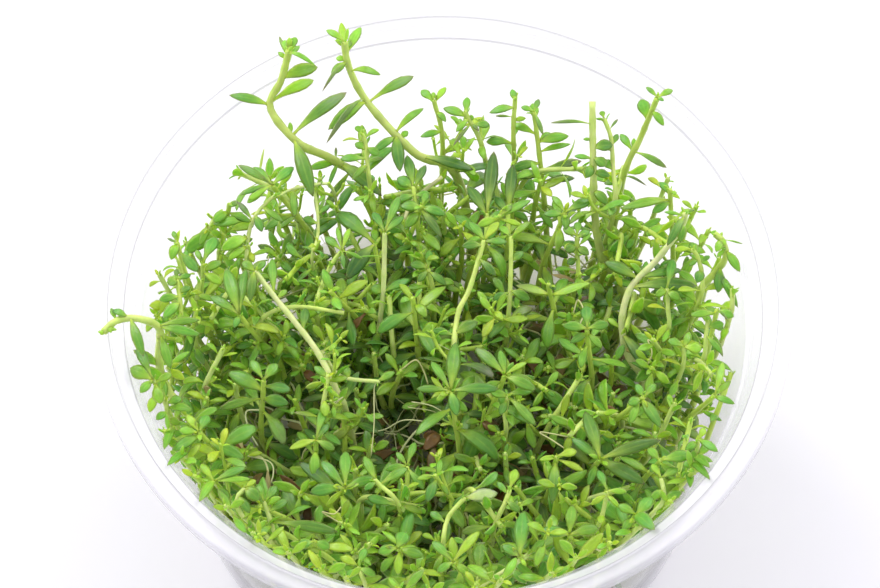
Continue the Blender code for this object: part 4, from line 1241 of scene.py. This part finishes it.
def dress(tree, shader, colour, patch_size, strength, depth, bump=0.5, stretch=(1, 1, 1),
          relief=None, **inputs):
    """Gives a shader the mottled colour, its roughness and a fine relief, then its own inputs."""
    grown = node(tree, "ShaderNodeGroup", node_tree=mottle_group(), inputs={
        "Colour": colour, "Patch size": patch_size, "Strength": strength,
        "Stretch": stretch}).outputs
    height = relief(grown["Height"]) if relief else grown["Height"]
    bumped = node(tree, "ShaderNodeBump", inputs={
        "Strength": bump, "Distance": depth, "Height": height}).outputs["Normal"]
    feed(tree, shader, {"Base Color": grown["Colour"], "Normal": bumped})
    feed(tree, shader, {"Roughness": grown["Roughness"]} | inputs)


def soft_light(shader, weight, radius, scale):
    """Lets light soak into a surface."""
    feed(None, shader, {"Subsurface Weight": weight, "Subsurface Radius": radius,
                        "Subsurface Scale": scale})


def leaf_nodes(tree, shader, dead=False):
    """A leaf, young to old and painted darker or paler as shade and light, with a pale rib and
    base, a dark edge and tip, a painted silvery highlight on some, and fine veins.
    """
    style = settings().foliage
    do, mix = functools.partial(maths, tree), functools.partial(blended, tree)
    across, along, tone, vary, under, blush = (value_of(tree, key) for key in Growth.VALUES)
    side = do("ABSOLUTE", across)
    if dead:
        colour = mix(vary, style.dead, (0.46, 0.42, 0.15))
    else:
        # The tone carries the age, and also painted shade deep in the mound and painted light
        # beside the wall.
        colour = mix(do("MULTIPLY", tone, 2.0, clamp=True), style.young, style.grown)
        colour = mix(do("MULTIPLY_ADD", tone, 2.0, -1.0, clamp=True), colour, style.old)
        for slope, start, tint in ((2.4, -1.4, (1.75, 1.12, 0.8)), (-2.4, 1.0, (0.68, 0.96, 1.6))):
            share = do("MULTIPLY", do("MULTIPLY_ADD", vary, slope, start, clamp=True), 0.8)
            colour = mix(share, colour, tint, "MULTIPLY")
        # A tone below zero paints a silvery highlight.
        colour = mix(do("MULTIPLY", tone, -0.55, clamp=True), colour, (0.46, 0.56, 0.38))
    middle = do("SUBTRACT", 1.0, side)
    rib = do("MULTIPLY", do("POWER", middle, 7.0), do("MULTIPLY_ADD", along, -0.8, 1.0))
    base = do("POWER", do("SUBTRACT", 1.0, along, clamp=True), 3.6)
    glow = do("MULTIPLY", base, do("MULTIPLY_ADD", middle, 0.6, 0.4))
    pale = do("MAXIMUM", do("MULTIPLY", rib, 0.4), do("MULTIPLY", glow, 1.15))
    pale = do("MULTIPLY", pale, 0.15 if dead else 0.85, clamp=True)
    colour = mix(pale, colour, (0.34, 0.22, 0.06) if dead else (0.66, 0.86, 0.10))
    if not dead:
        colour = mix(do("MULTIPLY", under, 0.5), colour, style.underside)
        margin = do("MULTIPLY", do("POWER", side, 3.0), do("MULTIPLY", tone, 0.75), clamp=True)
        colour = mix(margin, colour, (0.50, 0.58, 0.62), "MULTIPLY")
        tip = do("MULTIPLY", do("POWER", along, 16.0), do("MULTIPLY", tone, 1.3), clamp=True)
        colour = mix(tip, colour, (0.11, 0.065, 0.055))
        purple = do("MULTIPLY", blush, do("MULTIPLY", along, along), clamp=True)
        colour = mix(purple, colour, (0.20, 0.13, 0.11))
        soft_light(shader, 0.6, (0.7, 1.0, 0.3), 0.001)
    veins = do("SINE", do("MULTIPLY_ADD", along, 46.0, do("MULTIPLY", side, -9.0)))

    def relief(height):
        height = do("MULTIPLY_ADD", veins, 0.10, do("MULTIPLY", height, 0.6))
        return do("MULTIPLY_ADD", rib, -0.8, height)

    dress(tree, shader, colour, 700.0, 0.16, 0.00008, relief=relief)


def stem_nodes(tree, shader):
    """A stem, green to blanched, greener at the joints and duller low down."""
    style = settings().foliage
    do, mix = functools.partial(maths, tree), functools.partial(blended, tree)
    below, near, tone, vary = (value_of(tree, key) for key in Growth.VALUES[:4])
    colour = mix(tone, style.stem, style.pale_stem)
    colour = mix(do("MULTIPLY", vary, 0.3), colour, (0.44, 0.56, 0.06))
    joint = do("POWER", do("SUBTRACT", 1.0, near, clamp=True), 4.0)
    colour = mix(do("MULTIPLY", joint, 0.4), colour, (0.40, 0.64, 0.06))
    colour = mix(do("MULTIPLY", below, 0.5, clamp=True), colour, (0.56, 0.58, 0.20))
    dress(tree, shader, colour, 500.0, 0.14, 0.00008, stretch=(1, 1, 0.25))
    soft_light(shader, 0.35, (0.7, 1.0, 0.2), 0.0006)


def root_nodes(tree, shader):
    colour = blended(tree, value_of(tree, "vary"), settings().foliage.root, (0.76, 0.80, 0.42))
    dress(tree, shader, colour, 400.0, 0.2, 0.00005, 0.4)


def jelly_nodes(tree, shader):
    dress(tree, shader, settings().jelly.colour, 160.0, 0.05, 0.0004, 0.35, Roughness=0.18,
          Alpha=0.62)


def cup_nodes(tree, shader):
    """Clear plastic, a little milky and smeared, with dark lines painted where it bends, as
    reflections, and painted shade on the faces near the rim that are seen through the plastic.
    """
    do = functools.partial(maths, tree)
    milky, edge = value_of(tree, "milky"), value_of(tree, "edge")
    smear = cloud(tree, {"Vector": object_place(tree), "Scale": 60.0, "Detail": 4.0})
    # Painted shade on faces seen through the plastic, and painted dark lines at the bends, as
    # reflections.
    behind = node(tree, "ShaderNodeNewGeometry").outputs["Backfacing"]
    shade = do("MULTIPLY", value_of(tree, "inner"), behind)
    painted_dark = do("MULTIPLY_ADD", edge, 0.75, shade, clamp=True)
    colour = blended(tree, smear, settings().cup.colour, (0.97, 0.97, 0.98))
    facing = node(tree, "ShaderNodeLayerWeight", inputs={"Blend": 0.35}).outputs["Facing"]
    seen = do("MULTIPLY_ADD", do("POWER", facing, 3.0), 0.35, do("MULTIPLY_ADD", shade, 0.5, milky))
    seen = do("MULTIPLY_ADD", do("SUBTRACT", smear, 0.5), 0.10, seen, clamp=True)
    feed(tree, shader, {
        "Base Color": blended(tree, painted_dark, colour, (0.24, 0.24, 0.26)), "Alpha": seen, "IOR": 1.49,
        "Roughness": do("MULTIPLY_ADD", smear, 0.14, 0.10)})


def floor_nodes(tree, shader):
    patches = cloud(tree, {"Vector": object_place(tree), "Scale": 8.0})
    colour = blended(tree, patches, (0.90, 0.895, 0.915), (0.93, 0.925, 0.94))
    feed(tree, shader, {"Base Color": colour, "Roughness": 0.6})


LOOKS = {
    "fresh_leaf": leaf_nodes, "brown_leaf": functools.partial(leaf_nodes, dead=True),
    "fresh_stem": stem_nodes, "fine_root": root_nodes, "growing_jelly": jelly_nodes,
    "clear_plastic": cup_nodes, "pale_floor": floor_nodes}


def material(name):
    """One of the materials. The first call makes it."""
    if name not in bpy.data.materials:
        made = bpy.data.materials.new(name)
        made.use_nodes = True
        LOOKS[name](made.node_tree, made.node_tree.nodes["Principled BSDF"])
    return bpy.data.materials[name]


# Pieces


def cup_profile():
    """Radius, height, milkiness, painted dark edge and painted inner shade, from the floor over the
    rim down.
    """
    cup = settings().cup
    top, wall, rim = cup.height / MM, cup.wall / MM, cup.rim_radius / MM
    inner, ledge, shoulder, foot, floor = rim - 2.5, LEDGE_RADIUS, SHOULDER_RADIUS, FOOT_RADIUS, 2.0
    rows = [
        (0, floor, 0.12, 0, 0), (30, floor, 0.12, 0, 0), (37.6, floor, 0.12, 0, 0),
        (38.8, floor + 0.3, 0.3, 0.1, 0), (39.7, floor + 1.0, 0.4, 0.2, 0),
        (foot, floor + 2.0, 0.09, 0.1, 0), (foot + 2.6, top * 0.47, 0.07, 0.1, 0),
        (shoulder - 0.95, top - 9.5, 0.08, 0.12, 0), (shoulder - 0.7, top - 7.5, 0.2, 0.1, 0),
        (shoulder - 0.25, top - 7.42, 0.36, 0.2, 0), (shoulder, top - 7.2, 0.3, 0.12, 0),
        (ledge - 0.12, top - 3.35, 0.2, 0.05, 0.1), (ledge, top - 3.1, 0.6, 0.8, 0.2),
        (ledge + 0.08, top - 2.98, 0.6, 0.8, 0.2), (ledge + 0.25, top - 2.93, 0.6, 0, 0),
        (inner - 0.45, top - 2.75, 0.5, 0, 0.3), (inner - 0.25, top - 2.62, 0.3, 0.1, 1.0),
        (inner - 0.12, top - 2.35, 0.35, 0.1, 1.5), (inner, top - 1.2, 0.15, 0, 0.6),
        (inner + 0.02, top - 0.3, 0.3, 0.1, 1.2), (inner + 0.1, top - 0.1, 0.7, 0.9, 1.5),
        (inner + 0.25, top - 0.02, 0.35, 0.12, 0.3), (inner + 0.8, top, 0.4, 0, 0),
        (rim - 0.6, top, 0.6, 0, 0), (rim - 0.3, top - 0.05, 0.6, 0, 0),
        (rim - 0.1, top - 0.18, 0.6, 0.1, 0), (rim, top - 0.42, 0.6, 0.12, 0),
        (rim, top - 1.1, 0.3, 0, 0), (rim, top - 2.3, 0.3, 0, 0),
        (rim - 0.1, top - 2.5, 0.5, 0.2, 0), (rim - 0.35, top - 2.6, 0.4, 0.1, 0),
        (rim - 0.65, top - 2.5, 0.3, 0, 0), (rim - 0.8, top - wall, 0.12, 0, 0),
        (inner + 0.7, top - wall, 0.12, 0, 0), (inner + 0.4, top - 2.9 - wall, 0.15, 0.05, 0),
        (ledge + 0.8 * wall, top - 3.0 - wall, 0.15, 0.05, 0),
        (shoulder + 0.9 * wall, top - 7.7 - wall, 0.10, 0.1, 0),
        (foot + 2.6 + wall, top * 0.47, 0.07, 0.1, 0), (foot + wall, floor + 1.8, 0.15, 0, 0),
        (foot + 0.55 * wall, floor + 0.2, 0.3, 0.1, 0), (39.4, 0.35, 0.5, 0.3, 0),
        (38.6, 0, 0.4, 0.1, 0), (35.8, 0, 0.4, 0.1, 0), (35.2, 0.3, 0.4, 0.2, 0),
        (34.8, 0.8, 0.3, 0.1, 0), (0, 0.8, 0.2, 0, 0)]
    return [(radius * MM, height * MM, *values) for radius, height, *values in rows]


def turned(name, look, profile, segments, values=()):
    """A smooth solid of revolution, closed on the axis at both ends, with a value for each ring."""
    turn = np.arange(segments) * 2 * np.pi / segments
    inner = profile[1:-1]
    points = [(0, 0, profile[0][1])]
    for radius, height, *_ in inner:
        points += [(radius * math.cos(a), radius * math.sin(a), height) for a in turn]
    points.append((0, 0, profile[-1][1]))
    # Reversed, but each from its first corner on, which settles how it is split into triangles.
    faces = [(face[0], *face[:0:-1]) for face in ring_faces(len(inner), segments)]
    shades = {}
    for column, key in enumerate(values, 2):
        rows = np.array([row[column] for row in profile])
        shades[key] = np.concatenate([rows[:1], np.repeat(rows[1:-1], segments), rows[-1:]])
    made = new_piece(name, points, faces, shades)
    made.data.materials.append(material(look))
    return made


def settle(piece, slot, *nodes):
    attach(piece, "root")
    if nodes:
        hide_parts(*nodes)


class LUDWIGIA_OT_cup(bpy.types.Operator):
    """Makes the clear cup with its ledge, raised rim and skirt"""

    bl_idname = "ludwigia.cup"
    bl_label = "Clear Cup"

    def execute(self, context):
        piece = turned("clear_cup", "clear_plastic", cup_profile(), settings().cup.segments,
                       ("milky", "edge", "inner"))
        piece.data.set_sharp_from_angle(angle=math.radians(50))
        settle(piece, "cup", "cup")
        return {"FINISHED"}


class LUDWIGIA_OT_jelly(bpy.types.Operator):
    """Makes the disc of growing jelly"""

    bl_idname = "ludwigia.jelly"
    bl_label = "Jelly"

    def execute(self, context):
        low, high = JELLY_BOX
        edge = high[0] - 0.05 * MM
        rings = [(edge * share, jelly_top(edge * share)) for share in np.linspace(0.06, 0.97, 16)]
        profile = [(0, high[2]), *rings, (edge - 0.4 * MM, jelly_top(edge) - 0.1 * MM),
                   (edge, jelly_top(edge) - 0.6 * MM), (39.9 * MM, 4.4 * MM), (38.9 * MM, 3.0 * MM),
                   (37.2 * MM, low[2]), (0, low[2])]
        piece = turned("growing_jelly", "growing_jelly", profile, 128)
        draw = random.Random(3)
        circle = 6.28
        waves = [(draw.uniform(60, 300), draw.uniform(0, circle), draw.uniform(0, circle))
                 for _ in range(9)]
        for point in piece.data.vertices:
            x, y, z = point.co
            if z > jelly_top() - 0.5 * MM and math.hypot(x, y) < edge * 0.95:
                point.co.z += sum(
                    0.05 * MM * math.sin(f * (x * math.cos(a) + y * math.sin(a)) * circle + p)
                    for f, a, p in waves) - 0.15 * MM
        settle(piece, "jelly", "jelly")
        return {"FINISHED"}


@functools.cache
def gardener():
    return Gardener(settings().foliage.seed)


def long_route(name):
    foot, *points = LONG_SPRIGS[name][0]
    return Route(smooth_path([stem_foot(*foot), *(Vector(point) * MM for point in points)]))


class LUDWIGIA_OT_sprigs(bpy.types.Operator):
    """Grows the sprigs that stand for the solid ones, each along its solid's path"""

    bl_idname = "ludwigia.sprigs"
    bl_label = "Sprigs"

    def execute(self, context):
        grower, draw = gardener(), random.Random(SOLID_SEED)
        plans = [(name, long_route(name), length, pale)
                 for name, (_, length, pale) in LONG_SPRIGS.items()]
        for number, (foot, tip, length) in enumerate(SHORT_SPRIGS, 1):
            plans.append((f"{number:02d}", Route(short_path(foot, tip, draw)), length, 0.15))
        for grower.owner, (_, route, *_) in enumerate(plans, 1):
            grower.reserve(route)
        grower.owner = 0
        for name, route, length, pale in plans:
            growth = Growth(f"leafy_{name}")
            bare = 2.5 * MM if name == "tall_cut" else 0.0
            grower.sprig(growth, route, length * MM, pale, bare_tip=bare,
                         seen=SEEN_LEAVES.get(name), girth=STOUT.get(name, 1.0))
            settle(growth.piece("fresh_leaf", "fresh_stem"), "sprig", f"sprig_{name}")
        return {"FINISHED"}


def seen_route(points):
    """A stem through picture points with heights, from its foot in the jelly."""
    places = [Vector(seen_point(u, v, height * MM)) for u, v, height in points]
    for place in places:
        keep_in(place, 1.4 * MM)
    foot = stem_foot(places[0].x / MM * 0.86, places[0].y / MM * 0.86)
    lower = foot.lerp(places[0], 0.6)
    return Route(smooth_path([foot, lower, *places]))


class LUDWIGIA_OT_seen_sprigs(bpy.types.Operator):
    """Grows the other sprigs that can be made out"""

    bl_idname = "ludwigia.seen_sprigs"
    bl_label = "More Sprigs"

    def execute(self, context):
        for name, (points, length, pale, leaves) in SEEN_SPRIGS.items():
            growth = Growth(f"leafy_{name}")
            bare = 4 * MM if name == "bent_cut" else 0.0
            gardener().sprig(growth, seen_route(points), length * MM, pale, bare_tip=bare,
                             seen=leaves, girth=STOUT.get(name, 0.9))
            settle(growth.piece("fresh_leaf", "fresh_stem"), "sprig")
        return {"FINISHED"}


def canopy_height(x, y):
    """How high the mound's leaves reach over a point given in millimetres, in metres."""
    height = 42.0 + 4.0 * min(1.2, math.hypot(x, y) / 34) ** 2
    if y > 20:
        height -= 0.35 * (y - 20)
    for cx, cy, wide, deep in HOLLOWS:
        height -= deep * math.exp(-(((x - cx) ** 2 + (y - cy) ** 2) / wide ** 2))
    return height * MM


def leaning_path(tip, lean, way, foot):
    """Up from the foot, then over towards the tip, leaning by an angle in a direction."""
    spread = min(1.0, 37.0 / math.hypot(*foot))
    start, end = stem_foot(foot[0] * spread, foot[1] * spread), Vector(tip)
    slope = Vector((math.cos(way) * math.sin(lean), math.sin(way) * math.sin(lean), math.cos(lean)))
    knee = end - slope * 9 * MM
    low = start.lerp(knee, 0.55) + Vector((slope.x, slope.y, 0)) * -1.2 * MM
    controls = [start, low, knee, end]
    for point in controls[1:-1]:
        keep_in(point, 1.5 * MM)
    return smooth_path(controls)


class LUDWIGIA_OT_fillers(bpy.types.Operator):
    """Grows the small plants between the larger sprigs"""

    bl_idname = "ludwigia.fillers"
    bl_label = "Small Plants"

    def execute(self, context):
        style = settings().foliage
        draw = random.Random(style.seed + 20)
        taken = [tip[:2] for _, tip, _ in SHORT_SPRIGS]
        for points, *_ in SEEN_SPRIGS.values():
            u, v, height = points[-1]
            taken.append((seen_point(u, v, height * MM) / MM)[:2])
        groups = [Growth(f"small_plants_{i}") for i in range(4)]
        made, tries, most_tries, wall_plants, back_edge = 0, 0, 4000, 18, 29
        mound_reach, wall_reach, first_angle, angle_step, bend = 44.2, 45.4, 197, 7, 9
        while made < style.fillers and tries < most_tries:
            tries += 1
            radius, angle = mound_reach * math.sqrt(draw.random()), draw.uniform(0, 2 * math.pi)
            at_wall = tries <= wall_plants
            if at_wall:
                radius = wall_reach
                angle = math.radians(first_angle + angle_step * tries + draw.uniform(-1.5, 1.5))
            x, y = radius * math.cos(angle), radius * math.sin(angle)
            spacing = 2.2 if at_wall else 4.0
            if y > back_edge or any(math.hypot(x - a, y - b) < spacing for a, b in taken):
                continue
            top = canopy_height(x, y) - abs(draw.gauss(0, 3.5)) * MM
            lean, way = math.radians(abs(draw.gauss(0, 34))), draw.uniform(0, 2 * math.pi)
            lean = min(lean, math.radians(75))
            if at_wall:
                top = draw.uniform(49.0, 52.0) * MM
                lean, way = math.radians(draw.uniform(6, 18)), angle + draw.uniform(-0.6, 0.6)
            back = bend * math.sin(lean)
            foot = ((x - back * math.cos(way)) * 0.84 + draw.uniform(-2, 2),
                    (y - back * math.sin(way)) * 0.84 + draw.uniform(-2, 2))
            route = Route(leaning_path((x * MM, y * MM, top), lean, way, foot))
            if Room.in_gap(route.at(np.arange(0, 14 * MM, 1 * MM))):
                continue
            taken.append((x, y))
            gardener().sprig(groups[made % 4], route, draw.uniform(4.0, 6.8) * MM,
                             draw.uniform(0.0, 0.6), shoots=0.15, lowest=20 * MM,
                             stretch=draw.choice((0.85, 1.0, 1.6)))
            made += 1
        for group in groups:
            settle(group.piece("fresh_leaf", "fresh_stem"), "sprig")
        return {"FINISHED"}


def litter_place(draw, count, reach, highest, spread, lowest_in_hollow):
    """A random point on the stems, in millimetres above the jelly; every second in a hollow."""
    radius, angle = reach * math.sqrt(draw.random()), draw.uniform(0, 2 * math.pi)
    here = (radius * math.cos(angle), radius * math.sin(angle), draw.uniform(13, highest))
    if count % 2:
        x, y, wide, _ = draw.choice(HOLLOWS)
        here = (draw.gauss(x, wide * spread), draw.gauss(y, wide * spread),
                draw.uniform(lowest_in_hollow, 30))
    return gardener().nearest_stem(np.array(here) * MM)


# How many rootlets and old leaves there are besides the seen ones.
ROOTLETS, OLD_LEAVES = 330, 230


class LUDWIGIA_OT_litter(bpy.types.Operator):
    """Grows the root tangle and drops the old brown leaves on the jelly"""

    bl_idname = "ludwigia.litter"
    bl_label = "Roots and Old Leaves"

    def execute(self, context):
        draw = random.Random(settings().foliage.seed + 40)
        roots = Growth("root_tangle")
        for count in range(ROOTLETS):
            here = litter_place(draw, count, 38, 34, 0.6, 15)
            way = draw.uniform(0, 2 * math.pi)
            points = [here]
            for _ in range(draw.randint(9, 18)):
                way += draw.uniform(-0.5, 0.5)
                step = np.array([math.cos(way), math.sin(way), draw.uniform(-0.9, 0.2)]) * 1.5 * MM
                here = here + step
                if math.hypot(here[0], here[1]) > 39.5 * MM or here[2] < jelly_top() + 0.2 * MM:
                    break
                points.append(here)
            if len(points) > 4:
                radii = np.linspace(0.16, 0.07, len(points)) * MM * draw.uniform(0.7, 1.3)
                tube(roots, points, radii, 0, sides=5, vary=draw.random())
        for points, radius in ROOTLETS_SEEN:
            places = [Vector(seen_point(u, v, height * MM)) for u, v, height in points]
            path = smooth_path([Vector(gardener().nearest_stem(places[0])), *places])
            path = np.array([tuple(point) for point in path[::4]])
            radii = np.full(len(path), radius * 0.6 * MM)
            tube(roots, path, radii, 0, sides=6, vary=draw.random())
        settle(roots.piece("fine_root"), "sprig")
        litter = Growth("old_leaves")
        for u, v, height, length, width, straw in OLD_LEAVES_SEEN:
            middle = seen_point(u, v, height * MM)
            root = gardener().nearest_stem(middle)
            way = (middle - root) / max(1e-6, float(np.linalg.norm(middle - root)))
            leaf = Leaf.reaching(root, middle + way * length * 0.3 * MM, width * 0.65 * MM,
                                 draw.uniform(0.1, 0.3), (0, -0.4, 1), draw.uniform(-1.1, 1.1),
                                 draw.uniform(0.7, 1.3))
            leaf.grow(litter, 0.15 * MM, 0.5, straw, keel=0.5, edge=0.2)
        for count in range(OLD_LEAVES):
            root = litter_place(draw, count, 37, 30, 0.5, 16)
            way = draw.uniform(0, 2 * math.pi)
            outward = np.array([math.cos(way), math.sin(way), 0])
            leaf = Leaf(root, np.array([0, 0, 1.0]), outward, draw.uniform(4, 7) * MM,
                        draw.uniform(1.4, 2.2) * MM, math.radians(draw.uniform(70, 110)),
                        math.radians(draw.uniform(-30, 60)), twist=draw.uniform(-1, 1), light=0.1)
            if Room.inside(leaf.samples()):
                leaf.grow(litter, 0.15 * MM, 0.5, draw.random() ** 2 * 0.8, keel=0.5, edge=0.2)
        settle(litter.piece("brown_leaf"), "sprig")
        return {"FINISHED"}


class LUDWIGIA_OT_stage(bpy.types.Operator):
    """Lays the pale floor and sets the soft light and the camera"""

    bl_idname = "ludwigia.stage"
    bl_label = "Stage"

    def execute(self, context):
        style, scene = settings().stage, context.scene
        size = 3.0
        corners = [(-size, -size, 0), (size, -size, 0), (size, size, 0), (-size, size, 0)]
        floor = new_piece("floor", corners, [(0, 1, 2, 3)], {})
        floor.data.materials.append(material("pale_floor"))

        world = bpy.data.worlds.new("soft_sky")
        scene.world = world
        world.use_nodes = True
        sky = world.node_tree.nodes["Background"]
        sky.inputs["Color"].default_value = (0.92, 0.90, 1.0, 1)
        sky.inputs["Strength"].default_value = style.sky

        for name, share, place in (("left_light", 1.0, (-0.33, 0.30, 0.42)),
                                   ("right_light", 0.75, (0.35, 0.28, 0.42))):
            lamp = bpy.data.lights.new(name, "AREA")
            lamp.shape = "DISK"
            lamp.size = 0.3
            lamp.energy = style.key * share
            lamp.color = (1.0, 0.985, 0.96)
            light = bpy.data.objects.new(name, lamp)
            light.location = place
            light.rotation_mode = "QUATERNION"
            way = Vector((0, 0, 0.03)) - light.location
            light.rotation_quaternion = way.to_track_quat("-Z", "Y")
            scene.collection.objects.link(light)

        camera_data = bpy.data.cameras.new("camera")
        camera_data.lens = style.lens
        camera_data.sensor_width = SENSOR
        camera_data.shift_x, camera_data.shift_y = -SHIFT[0] / PICTURE[0], SHIFT[1] / PICTURE[0]
        camera_data.clip_start, camera_data.clip_end = 0.01, 20.0
        camera = bpy.data.objects.new("camera", camera_data)
        scene.collection.objects.link(camera)
        back = Vector((0, -math.cos(style.elevation), math.sin(style.elevation)))
        rim = Vector((0, 0, settings().cup.height))
        camera.location = rim + back * style.distance
        camera.rotation_mode = "QUATERNION"
        roll = Quaternion((0, 0, 1), -style.roll)
        camera.rotation_quaternion = (-back).to_track_quat("-Z", "Y") @ roll
        scene.camera = camera

        scene.view_settings.view_transform = "Standard"
        scene.view_settings.look = "None"
        scene.view_settings.exposure = 0.0
        scene.view_settings.gamma = 1.0
        return {"FINISHED"}


class LUDWIGIA_PT_panel(bpy.types.Panel):
    """Lists the steps and their settings"""

    bl_label = "Ludwigia"
    bl_idname = "LUDWIGIA_PT_panel"
    bl_space_type = "VIEW_3D"
    bl_region_type = "UI"
    bl_category = "Ludwigia"

    def draw(self, context):
        layout, made = self.layout, settings()
        for group, steps in ((made.cup, ("cup",)), (made.jelly, ("jelly",)),
                             (made.foliage, ("sprigs", "seen_sprigs", "fillers", "litter")),
                             (made.stage, ("stage",))):
            box = layout.box()
            for key in group.bl_rna.properties.keys():
                if key not in ("rna_type", "name"):
                    box.prop(group, key)
            for step in steps:
                box.operator(f"ludwigia.{step}")


CLASSES = (
    CupSettings, FoliageSettings, JellySettings, StageSettings, LudwigiaSettings, LUDWIGIA_OT_cup,
    LUDWIGIA_OT_jelly, LUDWIGIA_OT_sprigs, LUDWIGIA_OT_seen_sprigs, LUDWIGIA_OT_fillers,
    LUDWIGIA_OT_litter, LUDWIGIA_OT_stage, LUDWIGIA_PT_panel)


def register():
    for made in CLASSES:
        bpy.utils.register_class(made)
    bpy.types.Scene.ludwigia = PointerProperty(type=LudwigiaSettings)


def unregister():
    del bpy.types.Scene.ludwigia
    for made in reversed(CLASSES):
        bpy.utils.unregister_class(made)


def main():
    register()
    bpy.ops.ludwigia.cup()
    bpy.ops.ludwigia.jelly()
    bpy.ops.ludwigia.sprigs()
    bpy.ops.ludwigia.seen_sprigs()
    bpy.ops.ludwigia.fillers()
    bpy.ops.ludwigia.litter()
    bpy.ops.ludwigia.stage()


if __name__ == "__main__":
    main()
